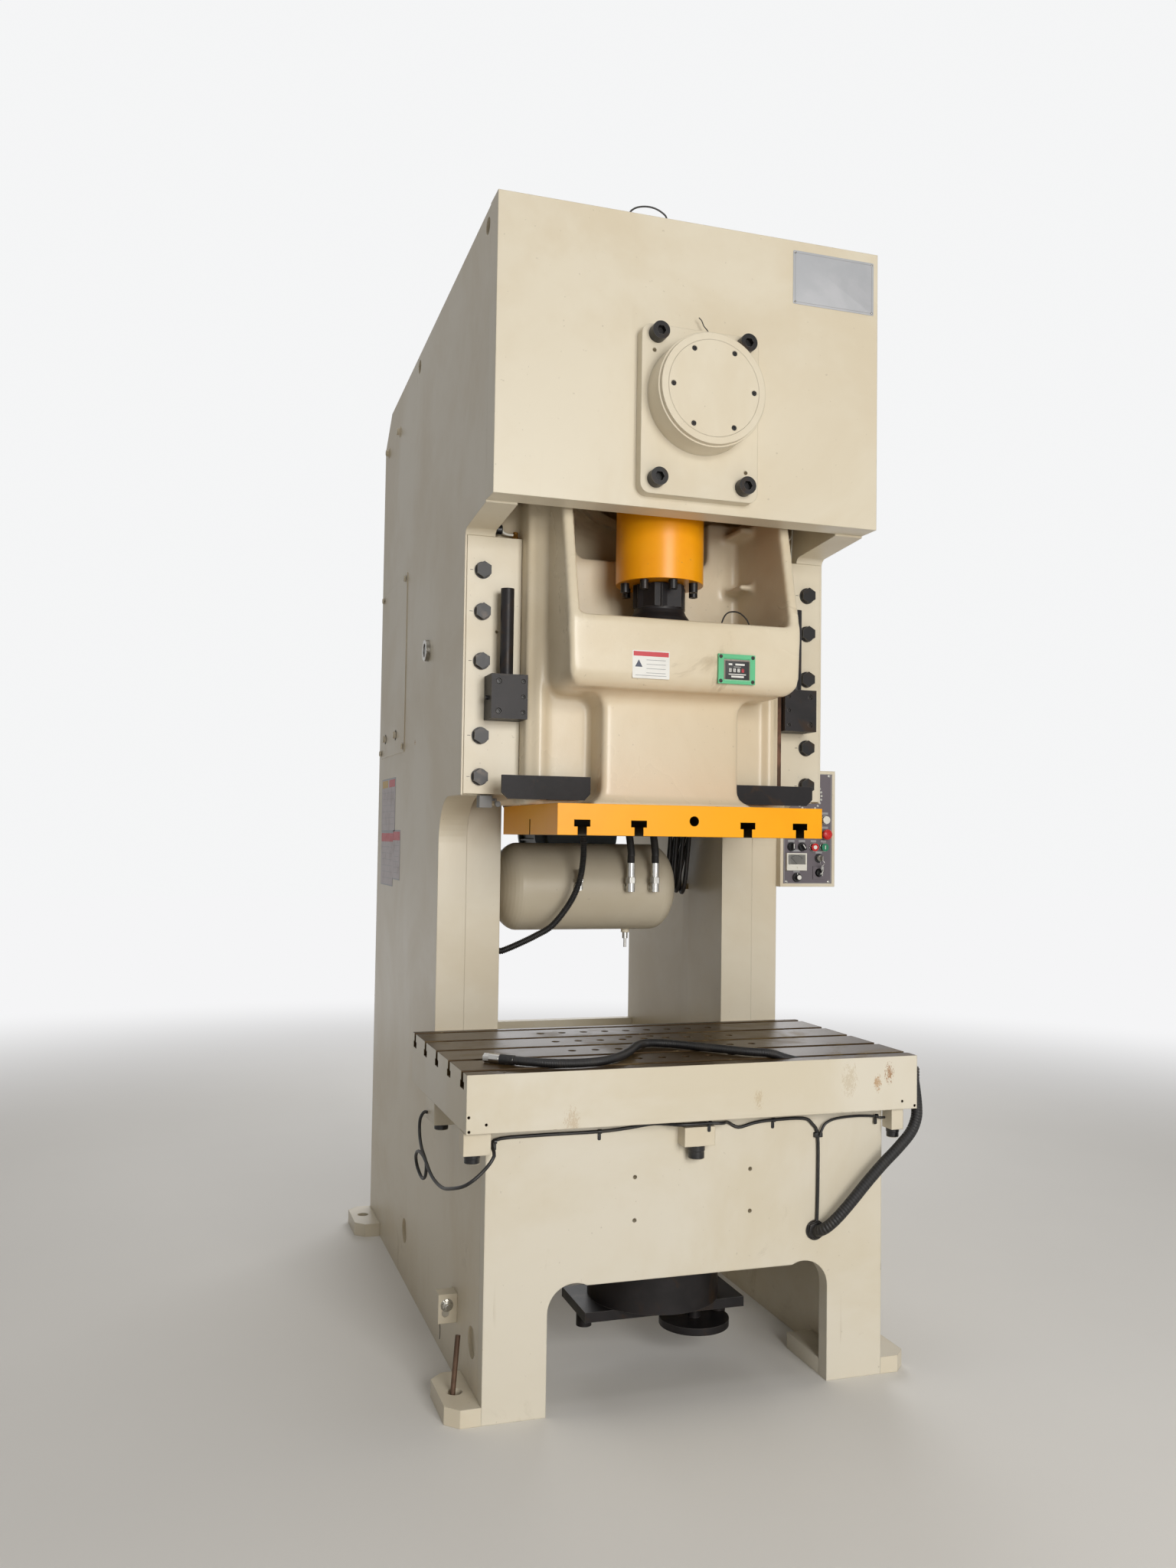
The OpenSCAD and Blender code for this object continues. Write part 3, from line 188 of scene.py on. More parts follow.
def sweep(bm, points, radius, sides, uvLayer):
    # A closed tube along points; the map's u runs round it and v along it
    tangents = [(points[min(i + 1, len(points) - 1)] - points[max(i - 1, 0)]).normalized()
                for i in range(len(points))]
    first = tangents[0].orthogonal().normalized()
    rows, run, side = [], 0.0, first
    for i, (p, t) in enumerate(zip(points, tangents)):
        if i:
            run += (p - points[i - 1]).length
        side = (side - t * side.dot(t)).normalized()
        up = t.cross(side)
        rows.append(([bm.verts.new(p + (side * c + up * s)) for c, s in ring(radius, sides)], run))
    for (a, ra), (b, rb) in zip(rows, rows[1:]):
        for k in range(sides):
            m = (k + 1) % sides
            face = bm.faces.new((a[k], a[m], b[m], b[k]))
            corners = ((k, ra), (k + 1, ra), (k + 1, rb), (k, rb))
            for loop, (c, r) in zip(face.loops, corners):
                loop[uvLayer].uv = (c / sides, r)
    bm.faces.new(rows[0][0])
    bm.faces.new(rows[-1][0])


axisX, axisY, axisZ = Vector((1, 0, 0)), Vector((0, 1, 0)), Vector((0, 0, 1))


# Shader helpers

def srgb(r, g, b):
    def linear(c):
        c /= 255
        return c / 12.92 if c <= 0.04045 else ((c + 0.055) / 1.055) ** 2.4
    return (linear(r), linear(g), linear(b), 1.0)


def feed(tree, socket, value):
    if isinstance(value, bpy.types.NodeSocket):
        tree.links.new(value, socket)
    elif value is not None:
        socket.default_value = value


def put(tree, kind, inputs=None, **settings):
    node = tree.nodes.new(kind)
    for key, value in settings.items():
        setattr(node, key, value)
    for key, value in (inputs or {}).items():
        feed(tree, node.inputs[key], value)
    return node


def maths(tree, operation, a, b=None, clamp=False):
    return put(tree, "ShaderNodeMath", {0: a, 1: b}, operation=operation, use_clamp=clamp).outputs[0]


def times(tree, a, b, clamp=False):
    return maths(tree, "MULTIPLY", a, b, clamp)


def plus(tree, a, b):
    return maths(tree, "ADD", a, b)


def minus(tree, a, b, clamp=False):
    return maths(tree, "SUBTRACT", a, b, clamp)


def spread(tree, value, low, high, start=0.0, end=1.0):
    return put(tree, "ShaderNodeMapRange",
               {"Value": value, "From Min": low, "From Max": high, "To Min": start, "To Max": end},
               interpolation_type="SMOOTHSTEP").outputs[0]


def mixColour(tree, factor, a, b):
    return put(tree, "ShaderNodeMix", {0: factor, 6: a, 7: b}, data_type="RGBA").outputs[2]


def tint(tree, colours, mask, amount, colour):
    # Lays the colour over the others where the mask is high
    return mixColour(tree, times(tree, mask, amount), colours, colour)


def noise(tree, vector, scale, detail, roughness, distortion=0.0):
    return put(tree, "ShaderNodeTexNoise", {"Vector": vector, "Scale": scale, "Detail": detail,
               "Roughness": roughness, "Distortion": distortion}).outputs["Fac"]


def stretched(tree, vector, scale, place=(0, 0, 0)):
    return put(tree, "ShaderNodeMapping",
               {"Vector": vector, "Scale": scale, "Location": place}).outputs[0]


def newGroup(name, inputs, outputs):
    tree = bpy.data.node_groups.new(name, "ShaderNodeTree")
    for label, kind, value in inputs:
        socket = tree.interface.new_socket(label, in_out="INPUT", socket_type=kind)
        if value is not None:
            socket.default_value = value
    for label, kind in outputs:
        tree.interface.new_socket(label, in_out="OUTPUT", socket_type=kind)
    return tree, tree.nodes.new("NodeGroupInput").outputs, tree.nodes.new("NodeGroupOutput").inputs


# Where edges are worn: the rounded normal differs from the flat one there
def makeEdgeGroup():
    tree, ins, outs = newGroup("edge wear", (
        ("Vector", "NodeSocketVector", None), ("Width", "NodeSocketFloat", 0.004),
        ("Amount", "NodeSocketFloat", 0.5), ("Scale", "NodeSocketFloat", 14.0)), (
        ("Mask", "NodeSocketFloat"), ("Normal", "NodeSocketVector")))
    soft = put(tree, "ShaderNodeBevel", {"Radius": ins["Width"]}, samples=4).outputs[0]
    flat = put(tree, "ShaderNodeNewGeometry").outputs["Normal"]
    dot = put(tree, "ShaderNodeVectorMath", {0: soft, 1: flat}, operation="DOT_PRODUCT").outputs["Value"]
    edge = spread(tree, dot, 0.995, 0.86)
    rough = noise(tree, ins["Vector"], ins["Scale"], 6, 0.7)
    limit = minus(tree, 1.0, ins["Amount"])
    chips = spread(tree, minus(tree, rough, limit), -0.04, 0.05)
    tree.links.new(times(tree, edge, chips, True), outs["Mask"])
    tree.links.new(soft, outs["Normal"])
    return tree


# Slow blotches, fine specks and a soft orange peel, as on sprayed enamel
def makePaintGroup():
    tree, ins, outs = newGroup("sprayed paint", (
        ("Vector", "NodeSocketVector", None), ("Blotch Scale", "NodeSocketFloat", 1.6),
        ("Peel Scale", "NodeSocketFloat", 160.0)), (
        ("Blotch", "NodeSocketFloat"), ("Specks", "NodeSocketFloat"), ("Height", "NodeSocketFloat")))
    big = noise(tree, ins["Vector"], ins["Blotch Scale"], 5, 0.6, 0.4)
    tree.links.new(spread(tree, big, 0.38, 0.66), outs["Blotch"])
    fine = noise(tree, ins["Vector"], 75.0, 2, 0.5)
    tree.links.new(spread(tree, fine, 0.72, 0.78), outs["Specks"])
    peel = noise(tree, ins["Vector"], ins["Peel Scale"], 2, 0.4)
    slow = noise(tree, ins["Vector"], 9.0, 2, 0.4)
    both = plus(tree, times(tree, peel, 0.25), slow)
    tree.links.new(both, outs["Height"])
    return tree


# Hand marks, rubbed dirt and runs, stronger towards the floor
def makeGrimeGroup():
    tree, ins, outs = newGroup("grime", (
        ("Vector", "NodeSocketVector", None), ("Amount", "NodeSocketFloat", 0.5)), (
        ("Mask", "NodeSocketFloat"), ("Runs", "NodeSocketFloat")))
    parts = put(tree, "ShaderNodeSeparateXYZ", {0: ins["Vector"]})
    low = spread(tree, parts.outputs[2], 0.75, 0.0, 0.0, 1.0)
    patches = noise(tree, ins["Vector"], 4.5, 7, 0.72, 0.8)
    where = noise(tree, ins["Vector"], 1.3, 2, 0.5)
    limit = minus(tree, 0.70, times(tree, plus(tree, low, 0.35), 0.10))
    spots = spread(tree, minus(tree, patches, limit), -0.02, 0.14)
    here = spread(tree, where, 0.42, 0.62)
    mask = times(tree, times(tree, spots, here), ins["Amount"], True)
    tree.links.new(mask, outs["Mask"])
    line = noise(tree, stretched(tree, ins["Vector"], (16, 16, 0.9)), 1.6, 3, 0.6)
    runs = times(tree, spread(tree, line, 0.66, 0.80), plus(tree, low, 0.15), True)
    tree.links.new(times(tree, runs, ins["Amount"], True), outs["Runs"])
    return tree


# Fine parallel marks left by grinding or turning
def makeGrindGroup():
    tree, ins, outs = newGroup("grinding marks", (
        ("Vector", "NodeSocketVector", None), ("Stretch", "NodeSocketVector", (2.0, 60.0, 60.0))), (
        ("Lines", "NodeSocketFloat"), ("Patches", "NodeSocketFloat")))
    scaled = put(tree, "ShaderNodeVectorMath", {0: ins["Vector"], 1: ins["Stretch"]},
                 operation="MULTIPLY").outputs[0]
    tree.links.new(noise(tree, scaled, 9.0, 3, 0.6), outs["Lines"])
    tree.links.new(noise(tree, ins["Vector"], 7.0, 5, 0.6, 0.5), outs["Patches"])
    return tree


# Oil film: wet where the mask is high
def makeOilGroup():
    tree, ins, outs = newGroup("oil film", (
        ("Vector", "NodeSocketVector", None), ("Amount", "NodeSocketFloat", 0.5),
        ("Scale", "NodeSocketFloat", 3.0)), (("Mask", "NodeSocketFloat"),))
    film = noise(tree, ins["Vector"], ins["Scale"], 6, 0.62, 1.2)
    limit = minus(tree, 0.78, times(tree, ins["Amount"], 0.5))
    tree.links.new(spread(tree, minus(tree, film, limit), -0.08, 0.10), outs["Mask"])
    return tree


edgeGroup, paintGroup, grimeGroup = makeEdgeGroup(), makePaintGroup(), makeGrimeGroup()
grindGroup, oilGroup = makeGrindGroup(), makeOilGroup()


def useGroup(tree, group, inputs):
    return put(tree, "ShaderNodeGroup", inputs, node_tree=group)


def startMaterial(name, fixed):
    # A material with its Principled shader; fixed holds what is the same all over
    material = bpy.data.materials.new(name)
    material.use_nodes = True
    tree = material.node_tree
    shader = tree.nodes["Principled BSDF"]
    for key, value in fixed.items():
        shader.inputs[key].default_value = value
    place = put(tree, "ShaderNodeTexCoord").outputs["Object"]
    return material, tree, shader, place


def connect(tree, shader, **links):
    for key, value in links.items():
        tree.links.new(value, shader.inputs[key.replace("_", " ")])


def bump(tree, height, strength, distance, normal=None):
    return put(tree, "ShaderNodeBump", {"Height": height, "Strength": strength, "Distance": distance,
                                        "Normal": normal}).outputs[0]


def enamel(name, colour, shade, rough=0.34, chips=0.28, grime=0.5, edge=0.004, oil=0.0,
           under=srgb(92, 80, 66), peel=0.25, scale=14.0):
    material, tree, shader, place = startMaterial(name, {"Specular IOR Level": 0.4})
    paint = useGroup(tree, paintGroup, {"Vector": place})
    worn = useGroup(tree, edgeGroup, {"Vector": place, "Width": edge, "Amount": chips, "Scale": scale})
    dirt = useGroup(tree, grimeGroup, {"Vector": place, "Amount": grime})
    colours = mixColour(tree, paint.outputs["Blotch"], colour, shade)
    colours = tint(tree, colours, dirt.outputs["Mask"], 0.62, srgb(140, 124, 98))
    colours = tint(tree, colours, dirt.outputs["Runs"], 0.5, srgb(158, 138, 104))
    colours = tint(tree, colours, paint.outputs["Specks"], 0.25, srgb(120, 106, 86))
    if oil:
        film = useGroup(tree, oilGroup, {"Vector": place, "Amount": oil, "Scale": 4.0}).outputs[0]
        colours = tint(tree, colours, film, 0.5, srgb(128, 100, 62))
    colours = tint(tree, colours, worn.outputs["Mask"], 0.8, under)
    gloss = plus(tree, rough, times(tree, dirt.outputs["Mask"], 0.25))
    gloss = plus(tree, gloss, times(tree, paint.outputs["Blotch"], 0.05))
    if oil:
        gloss = minus(tree, gloss, times(tree, film, 0.12), True)
    normal = bump(tree, paint.outputs["Height"], peel, 0.0012, worn.outputs["Normal"])
    connect(tree, shader, Base_Color=colours, Roughness=gloss, Normal=normal)
    return material


def metal(name, colour, shade, rough, oil, stretch=(60.0, 60.0, 2.0), oilColour=srgb(58, 40, 20),
          metallic=1.0, marks=0.12, shine=0.5):
    fixed = {"Metallic": metallic, "Specular IOR Level": shine}
    material, tree, shader, place = startMaterial(name, fixed)
    grind = useGroup(tree, grindGroup, {"Vector": place, "Stretch": stretch})
    worn = useGroup(tree, edgeGroup, {"Vector": place, "Width": 0.0015, "Amount": 0.6, "Scale": 40.0})
    film = useGroup(tree, oilGroup, {"Vector": place, "Amount": oil, "Scale": 9.0}).outputs[0]
    colours = mixColour(tree, spread(tree, grind.outputs["Patches"], 0.35, 0.65), colour, shade)
    colours = tint(tree, colours, film, 0.7, oilColour)
    colours = tint(tree, colours, worn.outputs["Mask"], 0.4, srgb(170, 166, 160))
    gloss = plus(tree, rough - 0.08, times(tree, grind.outputs["Lines"], 0.2))
    gloss = minus(tree, gloss, times(tree, film, 0.08), True)
    normal = bump(tree, grind.outputs["Lines"], marks, 0.0004, worn.outputs["Normal"])
    connect(tree, shader, Base_Color=colours, Roughness=gloss, Normal=normal)
    return material


def plastic(name, colour, rough, grain=0.05, dust=0.15, edge=0.0008):
    material, tree, shader, place = startMaterial(name, {})
    soft = useGroup(tree, edgeGroup, {"Vector": place, "Width": edge, "Amount": 0.3, "Scale": 60.0})
    fine = noise(tree, place, 420.0, 2, 0.5)
    dusty = spread(tree, noise(tree, place, 16.0, 6, 0.65, 0.6), 0.45, 0.75)
    colours = tint(tree, colour, dusty, dust, srgb(150, 140, 125))
    gloss = plus(tree, rough, times(tree, dusty, 0.18))
    normal = bump(tree, fine, grain, 0.0003, soft.outputs["Normal"])
    connect(tree, shader, Base_Color=colours, Roughness=gloss, Normal=normal)
    return material


creamPaint = enamel("cream enamel", srgb(219, 210, 190), srgb(212, 200, 176))
castPaint = enamel("cream enamel on casting", srgb(219, 207, 183), srgb(211, 196, 168), rough=0.27,
                   chips=0.3, grime=0.35, edge=0.006, oil=0.15, peel=0.5)
bedPaint = enamel("cream enamel on bed", srgb(219, 212, 196), srgb(212, 202, 180), rough=0.36,
                  chips=0.36, grime=0.95, edge=0.005)
innerPaint = enamel("cream enamel inside", srgb(206, 193, 166), srgb(188, 172, 140), rough=0.42,
                    chips=0.3, grime=0.6, oil=0.5)
yellowPaint = enamel("yellow enamel", srgb(250, 170, 14), srgb(244, 156, 8), rough=0.3, chips=0.3,
                     grime=0.25, edge=0.003, under=srgb(120, 78, 22))
greyPaint = enamel("grey enamel", srgb(92, 98, 102), srgb(78, 84, 88), rough=0.4, grime=0.5)
greenPaint = enamel("green enamel", srgb(96, 190, 138), srgb(84, 176, 124), rough=0.35, grime=0.2,
                    edge=0.001, scale=60.0)
panelPaint = enamel("panel enamel", srgb(104, 97, 103), srgb(97, 91, 97), rough=0.42, chips=0.05,
                    grime=0.2, edge=0.001)
blackSteel = metal("blackened steel", srgb(40, 37, 38), srgb(31, 29, 30), rough=0.42, oil=0.35,
                   stretch=(30.0, 30.0, 30.0), metallic=0.1, shine=0.25)
blackPaint = metal("black angle steel", srgb(33, 31, 33), srgb(26, 25, 27), rough=0.48, oil=0.3,
                   stretch=(4.0, 40.0, 40.0), metallic=0.0, shine=0.2)
screwSteel = metal("screw steel", srgb(32, 30, 30), srgb(24, 23, 23), rough=0.36, oil=0.4,
                   stretch=(40.0, 40.0, 40.0), metallic=0.2, shine=0.4)
brightSteel = metal("turned steel", srgb(168, 165, 158), srgb(146, 142, 134), rough=0.28, oil=0.25)
rustySteel = metal("rusty steel", srgb(112, 88, 70), srgb(82, 62, 48), rough=0.6, oil=0.15,
                   stretch=(30.0, 30.0, 6.0), metallic=0.5, oilColour=srgb(96, 52, 26), marks=0.4)
platedSteel = metal("plated steel", srgb(205, 203, 198), srgb(180, 178, 172), rough=0.2, oil=0.05,
                    stretch=(20.0, 20.0, 20.0), marks=0.05)
plateMetal = metal("plate aluminium", srgb(180, 181, 185), srgb(170, 172, 176), rough=0.58, oil=0.0,
                   stretch=(3.0, 90.0, 90.0), metallic=0.2, marks=0.06)
bronzeMetal = metal("bearing bronze", srgb(196, 150, 84), srgb(168, 122, 62), rough=0.34, oil=0.4)
motorPaint = enamel("motor grey", srgb(84, 96, 104), srgb(70, 80, 88), rough=0.45, grime=0.6)
blackRubber = plastic("black rubber", srgb(30, 29, 29), rough=0.5, grain=0.2, dust=0.2)
cableBlack = plastic("cable sheath", srgb(26, 25, 25), rough=0.42, grain=0.08, dust=0.12)
blackPlastic = plastic("black plastic", srgb(24, 24, 26), rough=0.28, dust=0.08)
whitePlastic = plastic("white plastic", srgb(222, 220, 210), rough=0.3, dust=0.12)
redPlastic = plastic("red plastic", srgb(196, 24, 22), rough=0.24, dust=0.08)
greenPlastic = plastic("green plastic", srgb(14, 124, 88), rough=0.24, dust=0.08)
greyPlastic = plastic("grey plastic", srgb(112, 112, 112), rough=0.4, dust=0.2)
labelWhite = plastic("label white", srgb(224, 223, 218), rough=0.4, dust=0.12, edge=0.0002)
labelRed = plastic("label red", srgb(190, 40, 52), rough=0.4, dust=0.1, edge=0.0002)
labelDark = plastic("label dark", srgb(44, 52, 74), rough=0.4, dust=0.1, edge=0.0002)
labelField = plastic("label field", srgb(184, 174, 176), rough=0.4, dust=0.25, edge=0.0002)
labelYellow = plastic("label yellow", srgb(196, 158, 52), rough=0.4, dust=0.2, edge=0.0002)
labelGrey = plastic("label grey", srgb(150, 150, 152), rough=0.4, dust=0.1, edge=0.0002)
ringBrown = plastic("counter ring", srgb(118, 104, 92), rough=0.45, dust=0.2, edge=0.0003)
printBlack = plastic("black print", srgb(22, 22, 24), rough=0.5, dust=0.05, edge=0.0002)
lampDots = plastic("lamp dots", srgb(196, 196, 190), rough=0.2, dust=0.05, edge=0.0002)


# Stains on the front of the bolster: x and z in metres, reach, strength, colour
bolsterStains = ((0.604, 0.925, 0.030, 0.8, srgb(150, 100, 44)),
                 (0.564, 0.896, 0.026, 0.7, srgb(170, 124, 66)),
                 (0.170, 0.868, 0.028, 0.4, srgb(176, 150, 104)),
                 (0.470, 0.912, 0.050, 0.35, srgb(178, 156, 116)),
                 (-0.400, 0.833, 0.045, 0.4, srgb(176, 146, 104)))


paintDepth = 0.0006    # a face that lies deeper than this inside a block's sides is bare


def insideSides(tree, spot, low, high, inside=1.0):
    # 1 away from the block's four upright sides, 0 on them
    for axis in (0, 1):
        for end, sign in ((low[axis], 1), (high[axis], -1)):
            away = times(tree, minus(tree, spot.outputs[axis], end), sign)
            inside = times(tree, inside, maths(tree, "GREATER_THAN", away, paintDepth))
    return inside


# Bolster: painted sides, ground top and slots under brown oil, with painted glints on the top's rims
def makeBolsterMaterial():
    material, tree, shader, place = startMaterial("bolster faces", {"Specular IOR Level": 0.3})
    geometry = put(tree, "ShaderNodeNewGeometry")
    up = put(tree, "ShaderNodeSeparateXYZ", {0: geometry.outputs["True Normal"]}).outputs[2]
    spot = put(tree, "ShaderNodeSeparateXYZ", {0: place})
    inside = insideSides(tree, spot, *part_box("bolster"))
    bare = maths(tree, "MAXIMUM", inside, maths(tree, "GREATER_THAN", up, 0.9))
    paint = useGroup(tree, paintGroup, {"Vector": place})
    worn = useGroup(tree, edgeGroup, {"Vector": place, "Width": 0.004, "Amount": 0.36, "Scale": 16.0})
    dirt = useGroup(tree, grimeGroup, {"Vector": place, "Amount": 0.8})
    grind = useGroup(tree, grindGroup, {"Vector": place, "Stretch": (2.0, 46.0, 20.0)})
    film = useGroup(tree, oilGroup, {"Vector": place, "Amount": 0.75, "Scale": 3.2}).outputs[0]
    cream = mixColour(tree, paint.outputs["Blotch"], srgb(219, 212, 196), srgb(212, 202, 180))
    cream = tint(tree, cream, dirt.outputs["Mask"], 0.6, srgb(150, 122, 80))
    cream = tint(tree, cream, worn.outputs["Mask"], 0.8, srgb(116, 82, 44))
    for x, z, r, strength, colour in bolsterStains:
        away = [times(tree, minus(tree, spot.outputs[axis], value), squeeze)
                for axis, value, squeeze in ((0, x, 1.5), (2, z, 0.8))]
        away = [times(tree, part, part) for part in away]
        away = maths(tree, "POWER", plus(tree, away[0], away[1]), 0.5)
        around = stretched(tree, place, (1.6, 1.0, 0.7), (x, 0.0, z))
        ragged = spread(tree, noise(tree, around, 90.0, 6, 0.75, 1.5), 0.38, 0.62)
        reach = minus(tree, ragged, times(tree, away, 1 / r))
        cream = tint(tree, cream, spread(tree, reach, 0.0, 0.12), strength, colour)
    steel = mixColour(tree, grind.outputs["Patches"], srgb(112, 93, 60), srgb(82, 64, 36))
    steel = tint(tree, steel, film, 0.85, srgb(64, 45, 20))
    # Rims on the bare top are lightened to a warm pale tone: partly bright worn steel, partly painted
    # glints on the slot and hole edges
    steel = tint(tree, steel, worn.outputs["Mask"], 0.85, srgb(206, 188, 142))
    colours = mixColour(tree, bare, cream, steel)
    dry = plus(tree, 0.36, times(tree, dirt.outputs["Mask"], 0.2))
    wet = minus(tree, 0.46, times(tree, film, 0.16))
    wet = plus(tree, wet, times(tree, grind.outputs["Lines"], 0.1))
    gloss = put(tree, "ShaderNodeMix", {0: bare, 2: dry, 3: wet}).outputs[0]
    height = put(tree, "ShaderNodeMix", {0: bare, 2: paint.outputs["Height"],
                                         3: grind.outputs["Lines"]}).outputs[0]
    normal = bump(tree, height, 0.25, 0.0008, worn.outputs["Normal"])
    connect(tree, shader, Base_Color=colours, Roughness=gloss, Normal=normal,
            Metallic=times(tree, bare, 0.25))
    return material


# Slide plate: yellow paint outside, bare and oily in the slots, the hole and underneath
def makeSlidePlateMaterial():
    material, tree, shader, place = startMaterial("slide plate faces", {"Specular IOR Level": 0.25})
    up = put(tree, "ShaderNodeSeparateXYZ", {
        0: put(tree, "ShaderNodeNewGeometry").outputs["True Normal"]}).outputs[2]
    spot = put(tree, "ShaderNodeSeparateXYZ", {0: place})
    low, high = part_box("slide_plate")
    under = maths(tree, "LESS_THAN", spot.outputs[2], high.z - paintDepth)
    inside = insideSides(tree, spot, low, high, under)
    bare = maths(tree, "MAXIMUM", inside, maths(tree, "LESS_THAN", up, -0.9))
    paint = useGroup(tree, paintGroup, {"Vector": place})
    worn = useGroup(tree, edgeGroup, {"Vector": place, "Width": 0.003, "Amount": 0.34, "Scale": 18.0})
    dirt = useGroup(tree, grimeGroup, {"Vector": place, "Amount": 0.35})
    film = useGroup(tree, oilGroup, {"Vector": place, "Amount": 0.4, "Scale": 4.0}).outputs[0]
    yellow = mixColour(tree, paint.outputs["Blotch"], srgb(251, 172, 14), srgb(246, 160, 8))
    yellow = tint(tree, yellow, dirt.outputs["Mask"], 0.5, srgb(150, 100, 24))
    yellow = tint(tree, yellow, worn.outputs["Mask"], 0.75, srgb(112, 74, 24))
    steel = mixColour(tree, film, srgb(84, 70, 48), srgb(48, 34, 16))
    colours = mixColour(tree, bare, yellow, steel)
    gloss = put(tree, "ShaderNodeMix", {0: bare, 2: 0.3, 3: 0.36}).outputs[0]
    normal = bump(tree, paint.outputs["Height"], 0.25, 0.001, worn.outputs["Normal"])
    connect(tree, shader, Base_Color=colours, Roughness=gloss, Normal=normal,
            Metallic=times(tree, bare, 0.7))
    return material


nodeFinish = {
    creamPaint: ("side_plates", "head_plates", "column_boxes", "mounting_feet", "gibs", "bearing_housing",
                 "bearing_cover", "rear_cover", "air_tank", "side_cover", "control_box", "wall_bracket",
                 "edge_sensors"),
    bedPaint: ("bed_plates", "bed_table"),
    innerPaint: ("cross_walls",),
    castPaint: ("slide_casting",),
    yellowPaint: ("connecting_rod",),
    blackSteel: ("balance_cylinders", "knockout_stops", "adjusting_screw", "cushion_cylinder"),
    blackPaint: ("guard_plates",),
    screwSteel: ("gib_bolts", "bearing_screws", "rod_screws"),
    brightSteel: ("balance_rods", "crankshaft", "main_gear", "pinion_shaft", "cushion_plate",
                  "sight_glass", "key_switch"),
    platedSteel: ("tank_fittings", "hose_connector"),
    bronzeMetal: ("crank_bushes", "ball_seats"),
    greyPaint: ("flywheel", "motor_pulley"),
    motorPaint: ("drive_motor",),
    greyPlastic: ("limit_switch",),
    panelPaint: ("control_panel",),
    greenPaint: ("die_height_counter",),
    blackRubber: ("drive_belts", "air_hoses"),
    cableBlack: ("sensor_cable", "hose_sleeve", "air_hose", "slide_conduit"),
    whitePlastic: ("ammeter", "white_button"),
    redPlastic: ("stop_button", "emergency_button"),
    greenPlastic: ("start_button",),
    blackPlastic: ("left_selector", "right_selector", "mode_switch", "speed_knob"),
    makeBolsterMaterial(): ("bolster",),
    makeSlidePlateMaterial(): ("slide_plate",),
}


def finishNodes():
    done = set()
    for material, names in nodeFinish.items():
        for name in names:
            mesh = nodes[name].data
            mesh.materials.clear()
            mesh.materials.append(material)
            done.add(name)
    print("nodes finished:", len(done), "of", len(nodes), sorted(set(nodes) - done))


finishNodes()


# Stage and light

studio = {"floorColour": (233, 231, 227), "farColour": (245, 245, 246), "fade": (3.2, 8.5),
          "floorHalf": 30, "worldColour": (1.0, 0.94, 0.86, 1), "worldStrength": 0.155,
          "wallColour": (0.98, 0.985, 0.99, 1), "wallStrength": 0.93,
          "lamps": (
              # name, place in mm, aimed at, size in m, watts, colour
              ("key", (300, -7400, 3000), (0, 0, 1700), 2.8, 330, (1.0, 0.985, 0.955)),
              ("fill", (900, -7400, 900), (0, 0, 2000), 3.0, 60, (1.0, 0.97, 0.92)),
              ("top", (0, 200, 6200), (0, 200, 1700), 4.5, 95, (1.0, 1.0, 1.0)),
              ("back", (1500, 5600, 4200), (0, 900, 1900), 4.0, 150, (0.97, 0.98, 1.0)))}


def makeFloorMaterial(settings):
    # Takes the press's shadow near it and fades to the wall's tone far away
    fixed = {"Specular IOR Level": 0.2, "Roughness": 0.7}
    material, tree, shader, place = startMaterial("studio floor", fixed)
    tone = srgb(*settings["floorColour"])
    dark = tuple(c * 0.96 for c in tone[:3]) + (1.0,)
    connect(tree, shader, Base_Color=mixColour(tree, noise(tree, place, 1.5, 3, 0.5), tone, dark))
    away = put(tree, "ShaderNodeVectorMath", {0: place}, operation="LENGTH").outputs["Value"]
    far = spread(tree, away, *settings["fade"])
    rays = put(tree, "ShaderNodeLightPath").outputs
    seen = maths(tree, "MAXIMUM", rays["Is Camera Ray"], rays["Is Glossy Ray"])
    plain = put(tree, "ShaderNodeEmission",
                {"Color": srgb(*settings["farColour"]), "Strength": 1.0}).outputs[0]
    mix = put(tree, "ShaderNodeMixShader", {0: times(tree, far, seen), 1: shader.outputs[0],
                                            2: plain}).outputs[0]
    tree.links.new(mix, tree.nodes["Material Output"].inputs["Surface"])
    return material


def makeStage(settings):
    half = settings["floorHalf"]
    corners = [(x * half, y * half, 0) for x, y in ((-1, -1), (1, -1), (1, 1), (-1, 1))]
    floor = meshObject("floor", corners, [(0, 1, 2, 3)])
    floor.data.materials.append(makeFloorMaterial(settings))
    world = bpy.data.worlds.new("studio")
    bpy.context.scene.world = world
    world.use_nodes = True
    tree = world.node_tree
    tree.nodes.clear()
    rays = put(tree, "ShaderNodeLightPath").outputs
    seen = maths(tree, "MAXIMUM", rays["Is Camera Ray"], rays["Is Transmission Ray"])
    seen = maths(tree, "MAXIMUM", seen, times(tree, rays["Is Glossy Ray"], 0.6))
    light, wall = (put(tree, "ShaderNodeBackground", {
        "Color": settings[k + "Colour"], "Strength": settings[k + "Strength"]}).outputs[0]
        for k in ("world", "wall"))
    mix = put(tree, "ShaderNodeMixShader", {0: seen, 1: light, 2: wall}).outputs[0]
    put(tree, "ShaderNodeOutputWorld", {"Surface": mix})
    for name, place, target, size, watts, colour in settings["lamps"]:
        data = bpy.data.lights.new(name, "AREA")
        data.size, data.energy, data.color = size, watts, colour
        lamp = bpy.data.objects.new(name, data)
        lamp.location = at(*place)
        lamp.rotation_euler = (at(*target) - at(*place)).to_track_quat("-Z", "Y").to_euler()
        bpy.context.scene.collection.objects.link(lamp)
    bpy.context.scene.view_settings.view_transform = "Standard"


makeStage(studio)
print("stage and lamps ready")


# Pieces

